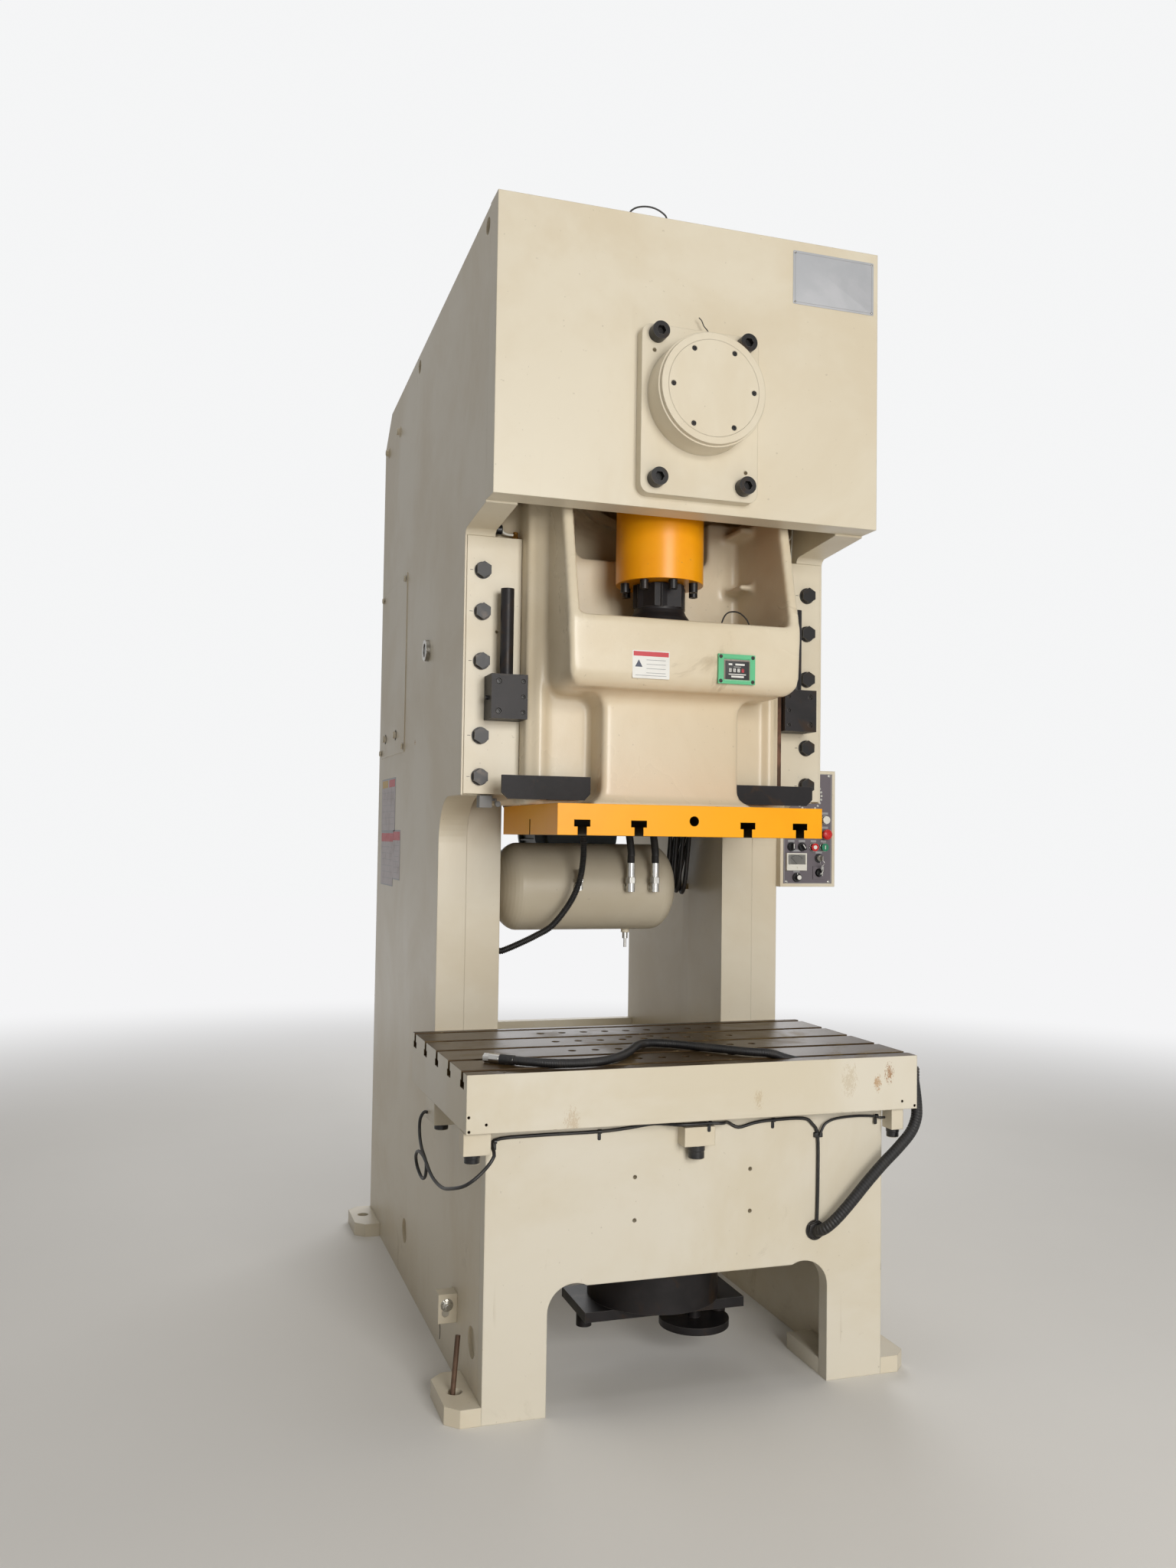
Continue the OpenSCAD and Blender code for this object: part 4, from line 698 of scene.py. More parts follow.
facing = {"front": (axisX, axisZ, -axisY), "left": (-axisY, axisZ, -axisX), "up": (axisX, axisY, axisZ),
          "right": (axisY, axisZ, axisX)}

# Faces of the solids that scene pieces lie on: x of those at the left, y of those at the front
faceX = {"side": -625, "cover": -631}
faceY = {"nameplate": -284, "slide": -255, "counter": -262, "panel": 368, "meter": 359.2,
         "button": 352, "cap": 344}


class Piece:
    # Collects closed shapes; paint() gives those added since the last call their material
    def __init__(self, name):
        self.name, self.bm, self.materials = name, bmesh.new(), []
        self.uv = self.bm.loops.layers.uv.new("along")
        self.painted = self.bm.faces.layers.int.new("painted")

    def paint(self, material):
        if material not in self.materials:
            self.materials.append(material)
        for face in self.bm.faces:
            if not face[self.painted]:
                face.material_index = self.materials.index(material)
                face[self.painted] = 1

    def slab(self, view, centre, outline, depth, bevel=0.0, lift=0.0):
        u, v, w = facing[view]
        addPrism(self.bm, outline, at(*centre) + w * lift, u, v, w, depth, bevel)

    def turned(self, view, centre, profile, n):
        u, v, w = facing[view]
        addTurned(self.bm, profile, at(*centre), u, v, w, n)

    def tube(self, points, radius, sides):
        sweep(self.bm, points, radius, sides, self.uv)

    def done(self, body, slot, angle=35):
        self.bm.faces.layers.int.remove(self.painted)
        bmesh.ops.recalc_face_normals(self.bm, faces=self.bm.faces)
        mesh = bpy.data.meshes.new(self.name)
        self.bm.to_mesh(mesh)
        self.bm.free()
        for material in self.materials:
            mesh.materials.append(material)
        mesh.shade_smooth()
        mesh.set_sharp_from_angle(angle=math.radians(angle))
        piece = linked(self.name, mesh)
        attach(piece, body)
        return piece


# Rubber hose with a fine spiral whose grooves are darkened as painted shade; the map's u runs round and v
# along, in metres
def makeHoseMaterial(name, colour, pitch, depth, rough=0.45):
    material, tree, shader, place = startMaterial(name, {})
    spot = put(tree, "ShaderNodeSeparateXYZ",
               {0: put(tree, "ShaderNodeUVMap", uv_map="along").outputs[0]})
    turns = times(tree, spot.outputs[1], 2 * math.pi / pitch)
    around = times(tree, spot.outputs[0], 2 * math.pi)
    ridge = maths(tree, "SINE", plus(tree, turns, around))
    dusty = spread(tree, noise(tree, place, 14.0, 6, 0.65, 0.6), 0.45, 0.75)
    colours = tint(tree, colour, dusty, 0.14, srgb(120, 108, 92))
    # The spiral's grooves are darkened towards near black: painted shade in the grooves
    colours = mixColour(tree, spread(tree, ridge, -1.0, 0.0, 0.5, 0.0), colours, srgb(10, 10, 10))
    gloss = plus(tree, rough, times(tree, dusty, 0.15))
    connect(tree, shader, Base_Color=colours, Roughness=gloss, Normal=bump(tree, ridge, 0.7, depth))
    return material


hoseRubber = makeHoseMaterial("spiral hose rubber", srgb(27, 26, 27), 0.0045, 0.0006)
sleeveRubber = makeHoseMaterial("sleeve rubber", srgb(33, 32, 33), 0.009, 0.0012, 0.5)
tankHoseRubber = makeHoseMaterial("tank hose rubber", srgb(34, 32, 31), 0.004, 0.0003)


# Cords: their routes in millimetres, the same as those of the solids

sleeve = {"radius": 0.017, "route": (
    (397, -333, 453), (398, -352, 455), (410, -374, 468), (440, -388, 498), (485, -394, 545),
    (535, -396, 598), (590, -398, 652), (640, -402, 698), (685, -400, 742), (711, -389, 780),
    (721, -376, 815), (723, -364, 860), (723, -350, 910), (723, -350, 930))}
hose = {"radius": 0.0125, "route": (
    (723, -350, 930.4), (723, -350, 935), (723, -350, 940), (716, -350, 955), (700, -350, 961),
    (650, -350, 961), (560, -350, 961), (460, -350, 961), (370, -350, 961), (325, -350, 964),
    (282, -350, 975), (240, -344, 988), (190, -312, 989), (140, -258, 989), (80, -190, 989),
    (15, -120, 989), (-35, -88, 989), (-75, -95, 989), (-115, -140, 989), (-160, -215, 989),
    (-215, -290, 989), (-275, -345, 989), (-340, -372, 989), (-405, -372, 989), (-460, -352, 989),
    (-505, -318, 989), (-535, -290, 989))}
cable = {"radius": 0.005, "branchRadius": 0.004, "route": (
    (-700.3, 120, 768), (-712, 120, 768), (-722, 126, 745), (-722, 128, 700), (-724, 80, 668),
    (-722, 20, 640), (-722, 25, 600), (-722, 75, 580), (-728, 118, 600), (-738, 100, 640),
    (-740, 50, 668), (-736, -20, 665), (-730, -110, 632), (-722, -210, 626), (-718, -320, 650),
    (-694, -398, 678), (-650, -404, 712), (-618, -400, 752), (-606, -350, 782), (-485, -338, 786),
    (-294, -338, 786), (-200, -338, 792), (-126, -338, 799), (-62, -390, 803), (25, -390, 803),
    (66, -390, 801), (105, -338, 790), (140, -338, 774), (190, -338, 784), (244, -338, 789),
    (351, -338, 789), (384, -338, 770), (402, -338, 735), (404, -338, 620), (402, -338, 500),
    (400, -338, 480)),
    "branch": (
    (404, -348, 735), (410, -348, 752), (424, -348, 772), (460, -346, 784), (530, -342, 787),
    (590, -344, 784), (608, -350, 780), (624.7, -350, 780))}


def makeCord(name, line, steps, radius, material, node, sides, **facts):
    points = catmull(route(line), steps)
    piece = Piece(name)
    piece.tube(points, radius, sides)
    piece.paint(material)
    cord = piece.done("frame", "black_rubber", 60)
    if node:
        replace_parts(cord, node)
    return cord


def makeSleeveEnds(settings):
    # Ribbed boot where the hose leaves the sleeve, and the nut at the bed's hole
    piece = Piece("sleeve-boot")
    top = settings["route"][-1]
    r = settings["radius"]
    profile = [(r + 0.0004, -0.066)]
    for i in range(7):
        z = -0.064 + i * 0.009
        profile += [(r + 0.0035, z), (r + 0.0035, z + 0.005), (r + 0.0012, z + 0.006),
                    (r + 0.0012, z + 0.008)]
    profile += [(r + 0.0005, 0.0), (0.0, 0.0)]
    piece.turned("up", top, [(0.0, -0.066)] + profile, 28)
    piece.paint(blackRubber)
    boot = piece.done("frame", "black_rubber", 40)
    piece = Piece("sleeve-nut")
    x, y, z = settings["route"][0]
    piece.slab("front", (x, y - 0.2, z), ring(0.027, 6, 0.3), 0.012, 0.0015)
    piece.turned("front", (x, y - 0.2, z), [(0, 0), (0.030, 0), (0.030, 0.004), (0, 0.004)], 32)
    piece.paint(screwSteel)
    return boot, piece.done("frame", "black_steel")


def makeFerrule(settings):
    # Ribbed black ferrule over the connector's first part
    a, b = (at(*settings["route"][k]) for k in (-2, -1))
    w = (b - a).normalized()
    u = w.cross(axisZ).normalized()
    profile = [(0.0, 0.001)]
    for i in range(8):
        z = 0.001 + i * 0.0056
        profile += [(0.01385, z), (0.01385, z + 0.0036), (0.0134, z + 0.0042), (0.0134, z + 0.0054)]
    piece = Piece("hose-ferrule")
    addTurned(piece.bm, profile + [(0.0, 0.0459)], b, u, w.cross(u), w, 28)
    piece.paint(blackRubber)
    return piece.done("frame", "black_rubber", 40)


def makeCords():
    boot, nut = makeSleeveEnds(sleeve)
    ferrule = makeFerrule(hose)
    makeCord("hose-sleeve", sleeve["route"], 4, sleeve["radius"], sleeveRubber, "hose_sleeve", 20,
             far_end="fitting", stiffness="limp", lay="hanging", with_pieces=[boot, nut])
    makeCord("air-hose", hose["route"], 5, hose["radius"], hoseRubber, "air_hose", 16,
             far_end="connector", stiffness="limp", lay="loose",
             with_pieces=[nodes["hose_connector"], ferrule])
    makeCord("sensor-cable", cable["route"], 4, cable["radius"], cableBlack, "sensor_cable", 10,
             far_end="object", stiffness="limp", lay="hanging")
    makeCord("sensor-cable-branch", cable["branch"], 4, cable["branchRadius"], cableBlack, None, 10,
             far_end="object", stiffness="medium", lay="hanging")
    print("cords made")


makeCords()


# Tank hoses and the bundle beside the column
tankHoses = {"radius": 0.013, "x": (66, 157), "bundleRadius": 0.008, "bundle": 4}


def makeTankHoses(settings):
    piece = Piece("tank-hoses")
    for x in settings["x"]:
        line = ((x, 413, 1537.3), (x, 413, 1557), (x, 413, 1577), (x - 4, 433, 1660), (x - 6, 473, 1760),
                (x - 4, 483, 1950), (x, 468, 2130), (x, 453, 2225), (x, 427, 2259), (x, 413, 2259),
                (x, 395.3, 2259))
        piece.tube(catmull(route(line), 8), settings["radius"], 16)
    for k in range(settings["bundle"]):
        line = ((290 + k * 26, 365.3, 2273 - 6 * k), (290 + k * 26, 405, 2273 - 6 * k),
                (290 + k * 26, 480, 2120 + 6 * k), (288 + k * 26, 560, 1850), (290 + k * 25, 604, 1620),
                (294 + k * 23, 636, 1490 - 10 * k), (304 + k * 21, 680, 1436 - 4 * k),
                (320 + k * 18, 712, 1480 + 4 * k), (346 + k * 12, 700 - 16 * k, 1620),
                (368 + k * 5, 672 - 34 * k, 1760), (394, 650 - 38 * k, 1830), (409.6, 650 - 38 * k, 1830))
        piece.tube(catmull(route(line), 8), settings["bundleRadius"], 12)
    piece.paint(tankHoseRubber)
    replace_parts(piece.done("frame", "black_rubber", 60), "air_hoses")


makeTankHoses(tankHoses)


# Slide casting: the solid's form with the soft corners of a casting
casting = {"voxel": 0.0085, "smoothRounds": 7}


def makeSlideCasting(settings):
    bm = bmesh.new()
    bm.from_mesh(nodes["slide_casting"].data)
    mesh = bpy.data.meshes.new("slide-casting")
    cleanMesh(bm, mesh, 1e-5)
    rough = linked("slide-casting", mesh)
    remesh = rough.modifiers.new("skin", "REMESH")
    remesh.mode, remesh.voxel_size, remesh.adaptivity = "VOXEL", settings["voxel"], 0.0
    smooth = rough.modifiers.new("soften", "SMOOTH")
    smooth.factor, smooth.iterations = 0.5, settings["smoothRounds"]
    mesh = finalMesh(rough)
    bpy.data.objects.remove(rough)
    mesh.shade_smooth()
    mesh.materials.clear()
    mesh.materials.append(castPaint)
    piece = linked("slide-casting", mesh)
    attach(piece, "slide")
    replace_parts(piece, "slide_casting")
    print("slide casting:", len(piece.data.polygons), "faces")


makeSlideCasting(casting)


# Conduit from the slide plate to the left column: a corrugated tube, made in one fixed shape
conduit = {"radius": 0.0105, "ridge": 0.0011, "pitch": 0.0062, "route": (
    (-131, 311, 1676), (-131, 334, 1673), (-131, 348, 1656), (-131, 352, 1631), (-129, 356, 1555),
    (-139, 364, 1476), (-167, 376, 1402), (-223, 394, 1323), (-279, 408, 1286), (-342, 424, 1254),
    (-385, 436, 1235), (-398, 438, 1232), (-409.7, 438, 1232))}


def newTree(name, inputs):
    # A Geometry Nodes tree with named inputs; gives the tree, its input sockets and its output
    tree = bpy.data.node_groups.new(name, "GeometryNodeTree")
    tree.interface.new_socket("Geometry", in_out="INPUT", socket_type="NodeSocketGeometry")
    for label, kind, value in inputs:
        tree.interface.new_socket(label, in_out="INPUT", socket_type=kind).default_value = value
    tree.interface.new_socket("Geometry", in_out="OUTPUT", socket_type="NodeSocketGeometry")
    return tree, tree.nodes.new("NodeGroupInput").outputs, tree.nodes.new("NodeGroupOutput").inputs[0]


def endTree(tree, geometry, output, material, smooth):
    real = put(tree, "GeometryNodeRealizeInstances", {"Geometry": geometry}).outputs[0]
    shade = put(tree, "GeometryNodeSetShadeSmooth", {"Geometry": real, "Shade Smooth": smooth}).outputs[0]
    final = put(tree, "GeometryNodeSetMaterial", {"Geometry": shade, "Material": material})
    tree.links.new(final.outputs[0], output)


def runTree(source, tree, values, name):
    # Runs the tree on the source object and leaves a plain mesh
    modifier = source.modifiers.new("nodes", "NODES")
    modifier.node_group = tree
    for item in tree.interface.items_tree:
        if item.in_out == "INPUT" and item.name in values:
            modifier[item.identifier] = values[item.name]
    mesh = finalMesh(source)
    bm = bmesh.new()
    bm.from_mesh(mesh)
    cleanMesh(bm, mesh)
    bpy.data.objects.remove(source)
    return linked(name, mesh)


def makeConduit(settings):
    tree, ins, out = newTree("corrugated tube", (
        ("Radius", "NodeSocketFloat", 0.01), ("Ridge", "NodeSocketFloat", 0.001),
        ("Pitch", "NodeSocketFloat", 0.006)))
    line = put(tree, "GeometryNodeMeshToCurve", {"Mesh": ins["Geometry"]}).outputs[0]
    step = maths(tree, "DIVIDE", ins["Pitch"], 6.0)
    fine = put(tree, "GeometryNodeResampleCurve", {"Curve": line, "Length": step},
               mode="LENGTH").outputs[0]
    run = put(tree, "GeometryNodeSplineParameter").outputs["Length"]
    wave = maths(tree, "SINE", maths(tree, "DIVIDE", times(tree, run, 2 * math.pi), ins["Pitch"]))
    radius = plus(tree, ins["Radius"], times(tree, wave, ins["Ridge"]))
    sized = put(tree, "GeometryNodeSetCurveRadius", {"Curve": fine, "Radius": radius}).outputs[0]
    circle = put(tree, "GeometryNodeCurvePrimitiveCircle", {"Resolution": 18, "Radius": 1.0}).outputs[0]
    skin = put(tree, "GeometryNodeCurveToMesh",
               {"Curve": sized, "Profile Curve": circle, "Fill Caps": True})
    if "Scale" in skin.inputs:
        tree.links.new(radius, skin.inputs["Scale"])
    endTree(tree, skin.outputs[0], out, cableBlack, True)
    points = catmull(route(settings["route"]), 8)
    source = meshObject("conduit-line", points, [])
    source.data.clear_geometry()
    source.data.from_pydata([tuple(p) for p in points], [(i, i + 1) for i in range(len(points) - 1)], [])
    piece = runTree(source, tree, {"Radius": settings["radius"], "Ridge": settings["ridge"],
                                   "Pitch": settings["pitch"]}, "slide-conduit")
    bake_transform(piece)
    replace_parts(piece, "slide_conduit")
    print("conduit:", len(piece.data.polygons), "faces")


makeConduit(conduit)


# Screws, rivets and dots, set out by a tree: each place has a centre and a direction
def makeHeadTree():
    tree, ins, out = newTree("screw heads", (
        ("Radius", "NodeSocketFloat", 0.01), ("Height", "NodeSocketFloat", 0.006),
        ("Sides", "NodeSocketInt", 6), ("Crown", "NodeSocketFloat", 0.8),
        ("Washer Radius", "NodeSocketFloat", 0.0), ("Washer Height", "NodeSocketFloat", 0.002),
        ("Material", "NodeSocketMaterial", None)))
    height, washerHeight = ins["Height"], ins["Washer Height"]
    body = put(tree, "GeometryNodeMeshCylinder", {"Vertices": ins["Sides"], "Radius": ins["Radius"],
                                                  "Depth": height})
    crown = put(tree, "GeometryNodeMeshCone", {
        "Vertices": ins["Sides"], "Radius Bottom": ins["Radius"],
        "Radius Top": times(tree, ins["Radius"], ins["Crown"]), "Depth": times(tree, height, 0.25)})
    washer = put(tree, "GeometryNodeMeshCylinder", {"Vertices": 20, "Radius": ins["Washer Radius"],
                                                    "Depth": washerHeight})
    joined = put(tree, "GeometryNodeJoinGeometry")
    for part, lift in ((body, plus(tree, washerHeight, times(tree, height, 0.5))),
                       (crown, plus(tree, washerHeight, height)),
                       (washer, times(tree, washerHeight, 0.5))):
        move = put(tree, "ShaderNodeCombineXYZ", {2: lift}).outputs[0]
        moved = put(tree, "GeometryNodeTransform", {"Geometry": part.outputs[0], "Translation": move})
        tree.links.new(moved.outputs[0], joined.inputs[0])
    points = put(tree, "GeometryNodeMeshToPoints", {"Mesh": ins["Geometry"]}).outputs[0]
    way = put(tree, "GeometryNodeInputNamedAttribute", {"Name": "way"},
              data_type="FLOAT_VECTOR").outputs[0]
    turn = put(tree, "FunctionNodeAlignRotationToVector", {"Vector": way}, axis="Z").outputs[0]
    spots = put(tree, "GeometryNodeInstanceOnPoints", {"Points": points, "Instance": joined.outputs[0],
                                                       "Rotation": turn}).outputs[0]
    endTree(tree, spots, out, ins["Material"], False)
    return tree


headTree = makeHeadTree()


headSizes = ("Radius", "Height", "Sides", "Crown", "Washer Radius", "Washer Height")


def makeHeads(name, body, places, material, slot, *sizes):
    # places: (view, x, y, z) in millimetres; sizes as in headSizes, in metres
    source = meshObject(name + "-places", [at(*p[1:]) for p in places], [])
    ways = source.data.attributes.new("way", "FLOAT_VECTOR", "POINT")
    for i, p in enumerate(places):
        ways.data[i].vector = facing[p[0]][2]
    piece = runTree(source, headTree, dict(zip(headSizes, sizes), Material=material), name)
    if material.name not in [m.name for m in piece.data.materials if m]:
        piece.data.materials.clear()
        piece.data.materials.append(material)
    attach(piece, body)
    return piece


def makeFasteners():
    sideBolts = [("left", faceX["side"], y, z)
                 for y, z in ((1332, 3269), (1603, 3257), (1525, 2022), (1279, 2023))]
    coverScrews = [("left", faceX["cover"], y, z) for y in (1105, 1620) for z in (1967, 2621)]
    rivets = [("front", x, faceY["nameplate"] - 1.2, z) for x in (332, 603) for z in (3307, 3463)]
    panel = faceY["panel"] - 0.1
    panelScrews = [("front", x, panel, z) for x in (650, 820) for z in (1474, 1862)]
    counterScrews = [("front", x, faceY["counter"] - 1, z) for x in (102, 209) for z in (2107, 2182)]
    dots = panelParts["dotRing"]
    turns = (2 * math.pi * i / dots["count"] for i in range(dots["count"]))
    lamps = [("front", dots["x"] + dots["r"] * math.sin(a), panel, dots["z"] + dots["r"] * math.cos(a))
             for a in turns]
    makeHeads("side-bolts", "frame", sideBolts, creamPaint, "cream_paint",
              0.014, 0.009, 6, 0.86, 0.021, 0.003)
    makeHeads("side-cover-screws", "frame", coverScrews, creamPaint, "cream_paint",
              0.011, 0.004, 18, 0.75, 0.014, 0.002)
    makeHeads("nameplate-rivets", "frame", rivets, platedSteel, "machined_steel",
              0.0035, 0.0012, 12, 0.6, 0.0, 0.0)
    makeHeads("panel-screws", "frame", panelScrews, platedSteel, "machined_steel",
              0.004, 0.0016, 16, 0.7, 0.0055, 0.0006)
    makeHeads("counter-screws", "slide", counterScrews, screwSteel, "black_steel",
              0.0042, 0.0022, 16, 0.75, 0.006, 0.0006)
    makeHeads("panel-lamp-dots", "frame", lamps, lampDots, "white_plastic",
              0.0028, 0.0012, 12, 0.6, 0.0042, 0.0006)


# The control panel's print and rings: places in x and z, sizes after them
panelParts = {"dotRing": {"x": 738, "z": 1788, "r": 52, "count": 24},
              "border": (188, 398, 735, 1668), "legends": (
                  (804, 1724, 26, 8), (804, 1672, 26, 8), (668, 1622, 26, 8), (711, 1622, 26, 8),
                  (758, 1622, 22, 8), (799, 1622, 22, 8), (780, 1581, 26, 8), (690, 1512, 26, 8),
                  (686, 1587, 40, 7)),
              "brightRings": ((804, 1700), (758, 1600), (799, 1600), (803, 1647)),
              "blackRings": ((668, 1601), (711, 1601), (780, 1560), (690, 1490), (780, 1507)),
              "pointers": (("left-pointer", 668, 1601, 0, "left_turn"),
                           ("right-pointer", 711, 1601, -35, "right_turn"),
                           ("mode-pointer", 780, 1507, 40, "mode_turn"))}


def makePanelPrint(settings):
    piece = Piece("panel-print")
    y = faceY["panel"]
    w, h, cx, cz = settings["border"]
    for side in (1, -1):
        for dx, dz, bw, bh in ((0, side * h / 2, w, 1.6), (side * w / 2, 0, 1.6, h)):
            piece.slab("front", (cx + dx, y, cz + dz), rectangle(bw / 1000, bh / 1000), 0.0003,
                       lift=-0.00005)
    for x, z, lw, lh in settings["legends"]:
        piece.slab("front", (x, y, z), roundRectangle(lw / 1000, lh / 1000, 0.001, 3), 0.0005,
                   lift=-0.00005)
    piece.paint(labelGrey)
    bright = [(0, -0.0001), (0.0175, -0.0001), (0.0175, 0.003), (0.0165, 0.0045), (0.0145, 0.0045),
              (0.0145, 0.001), (0, 0.001)]
    black = [(0, -0.0001), (0.0165, -0.0001), (0.0165, 0.002), (0.0155, 0.003), (0, 0.003)]
    for places, profile, material in ((settings["brightRings"], bright, platedSteel),
                                      (settings["blackRings"], black, blackPlastic)):
        for x, z in places:
            piece.turned("front", (x, y, z), profile, 28)
        piece.paint(material)
    return piece.done("frame", "black_plastic")


def makeControlCaps(settings):
    # Pointers and marks on the caps, each on the cap that carries it
    u, v, w = facing["front"]
    for name, x, z, turn, body in settings["pointers"]:
        piece = Piece(name)
        tilt = Matrix.Rotation(math.radians(turn), 3, axisY)
        base = at(x, faceY["cap"], z) + (tilt @ v) * 0.002
        addPrism(piece.bm, rectangle(0.003, 0.017), base, tilt @ u, tilt @ v, w, 0.0005)
        piece.paint(labelWhite)
        piece.done(body, "white_plastic")
    piece = Piece("stop-mark")
    piece.turned("front", (758, faceY["button"], 1600),
                 [(0, -0.0002), (0.0075, -0.0002), (0.0072, 0.0009), (0, 0.0011)], 24)
    piece.paint(labelWhite)
    piece.done("stop_push", "white_plastic")
    piece = Piece("start-mark")
    piece.slab("front", (799, faceY["button"], 1600), roundRectangle(0.003, 0.014, 0.001, 3), 0.0006,
               lift=-0.0002)
    piece.paint(labelWhite)
    piece.done("start_push", "white_plastic")
    piece = Piece("knob-cap")
    piece.turned("front", (690, faceY["cap"], 1490),
                 [(0, -0.0002), (0.0085, -0.0002), (0.008, 0.0012), (0, 0.0016)], 24)
    piece.slab("front", (690, 359, 1503), rectangle(0.002, 0.006), 0.0006, lift=-0.0002)
    piece.paint(labelWhite)
    piece.done("knob_turn", "white_plastic")


# The meter's scale turns about x and z; the white field has its own height
meter = {"x": 686, "z": 1539, "field": 1555, "radius": 0.031, "ticks": 11, "sweep": 96, "steps": 26,
         "needle": -0.94}


def makeMeterFace(settings):
    piece = Piece("meter-face")
    x, y, r, n = settings["x"], faceY["meter"], settings["radius"], settings["steps"]
    base = at(x, y, settings["z"])
    u, v, w = facing["front"]
    piece.slab("front", (x, y, settings["field"]), rectangle(0.0695, 0.0355), 0.0003, lift=-0.0001)
    piece.paint(labelWhite)
    half = math.radians(settings["sweep"] / 2)
    turns = [-half + 2 * half * i / n for i in range(n + 1)]
    arc = [(math.sin(a) * r, math.cos(a) * r) for a in turns]
    r -= 0.0006
    arc += [(math.sin(a) * r, math.cos(a) * r) for a in reversed(turns)]
    addPrism(piece.bm, arc, base + w * 0.0001, u, v, w, 0.0003)
    marks = []
    for i in range(settings["ticks"]):
        reach = 0.0042 if i % 5 == 0 else 0.0026
        marks.append((-half + 2 * half * i / (settings["ticks"] - 1), 0.0006, reach,
                      settings["radius"] - reach / 2, 0.0001, 0.0003))
    marks.append((half * settings["needle"], 0.0008, 0.027, 0.0135, 0.0016, 0.0004))
    for a, wide, reach, out, lift, depth in marks:
        d = Vector((math.sin(a), 0, math.cos(a)))
        side = Vector((math.cos(a), 0, -math.sin(a)))
        addPrism(piece.bm, rectangle(wide, reach), base + d * out + w * lift, side, d, w, depth)
    piece.paint(printBlack)
    return piece.done("frame", "white_plastic")


def makeKeyTag():
    # A second key hangs from the ring on the lock
    piece = Piece("key-ring")
    x, y, z, r = 780, 340, 1543, 9
    loop = [at(x + r * math.sin(a), y + 1.2 * math.cos(2 * a), z + r * math.cos(a))
            for a in (2 * math.pi * i / 24 for i in range(24))]
    piece.tube(loop + [loop[0] + Vector((0.0004, 0.001, 0))], 0.0008, 8)
    piece.slab("front", (x + 1, y + 1, z - 19), roundRectangle(0.010, 0.016, 0.004, 4), 0.0018)
    piece.slab("front", (x + 1, y + 1, z - 36), rectangle(0.004, 0.022), 0.0018)
    piece.paint(platedSteel)
    return piece.done("key_turn", "machined_steel")


makePanelPrint(panelParts)
makeControlCaps(panelParts)
makeMeterFace(meter)
makeKeyTag()
makeFasteners()
print("control panel and fasteners made")


# Plates: bare metal or plain fields of colour
plates = {
    "nameplate": {"centre": (467.5, faceY["nameplate"], 3385), "size": (285, 170)},
    "leftLabels": (
        # y, z, width, height, header
        (1432, 1745.5, 332, 217, 30), (1442, 1527, 296, 220, 34), (1220.5, 1545, 165, 196, 34)),
    "slideLabel": {"centre": (-122.5, faceY["slide"], 2144), "size": (119, 84)},
}


def makeNameplate(settings):
    piece = Piece("nameplate")
    w, h = (s / 1000 for s in settings["size"])
    piece.slab("front", settings["centre"], roundRectangle(w, h, 0.004, 4), 0.0012, 0.0003)
    piece.paint(plateMetal)
    x, y, z = settings["centre"]
    for side in (-1, 1):
        piece.slab("front", (x, y, z + side * (h * 500 - 7)), rectangle(w - 0.014, 0.0012), 0.0003,
                   lift=0.0011)
        piece.slab("front", (x + side * (w * 500 - 7), y, z), rectangle(0.0012, h - 0.0152), 0.0003,
                   lift=0.0011)
    piece.paint(labelGrey)
    piece.done("frame", "machined_steel")


def makeLeftLabels(rows):
    # Grey fields on bare plates; the upper one has two squares at its head, the lower ones a red bar
    piece = Piece("side-labels")
    x, lines = faceX["side"], 6
    for i, (y, z, w, h, header) in enumerate(rows):
        piece.slab("left", (x, y, z), roundRectangle(w / 1000, h / 1000, 0.004, 3), 0.0007,
                   lift=-0.0001)
        piece.paint(plateMetal)
        piece.slab("left", (x, y, z), rectangle((w - 10) / 1000, (h - 10) / 1000), 0.0003, lift=0.0006)
        piece.paint(labelField)
        top = z + (h - header) / 2 - 7
        heads = [(0, w - 12, labelRed)] if i else [(w / 4, w / 2 - 30, labelYellow),
                                                   (-w / 4, w / 2 - 30, labelRed)]
        for dy, wide, material in heads:
            piece.slab("left", (x, y + dy, top), rectangle(wide / 1000, header / 1000), 0.0003,
                       lift=0.0008)
            piece.paint(material)
        gap = (h - header - 34) / lines
        for k in range(lines):
            piece.slab("left", (x, y, top - header / 2 - 14 - (k + 0.3) * gap),
                       rectangle((w - 40 - 12 * (k % 3)) / 1000, 0.0014), 0.0003, lift=0.0008)
        piece.paint(labelGrey)
    piece.done("frame", "machined_steel")


def makeSlideLabel(settings):
    piece = Piece("slide-label")
    x, y, z = settings["centre"]
    w, h = settings["size"]
    piece.slab("front", (x, y, z), roundRectangle(w / 1000, h / 1000, 0.003, 3), 0.0006, lift=-0.0004)
    piece.paint(labelWhite)
    piece.slab("front", (x, y, z + h / 2 - 10), rectangle((w - 6) / 1000, 0.014), 0.0003, lift=0.0001)
    piece.paint(labelRed)
    u, v, d = facing["front"]
    base = at(x - w / 2 + 20, y, z + 2) + d * 0.0001
    addPrism(piece.bm, [(-0.012, -0.010), (0.012, -0.010), (0.0, 0.012)], base, u, v, d, 0.0003)
    piece.paint(labelDark)
    for i in range(4):
        piece.slab("front", (x + 16, y, z + 14 - i * 13), rectangle(0.062, 0.0016), 0.0003, lift=0.0001)
    piece.slab("front", (x, y, z - h / 2 + 9), rectangle((w - 20) / 1000, 0.0016), 0.0003, lift=0.0001)
    piece.paint(labelGrey)
    piece.done("slide", "white_plastic")


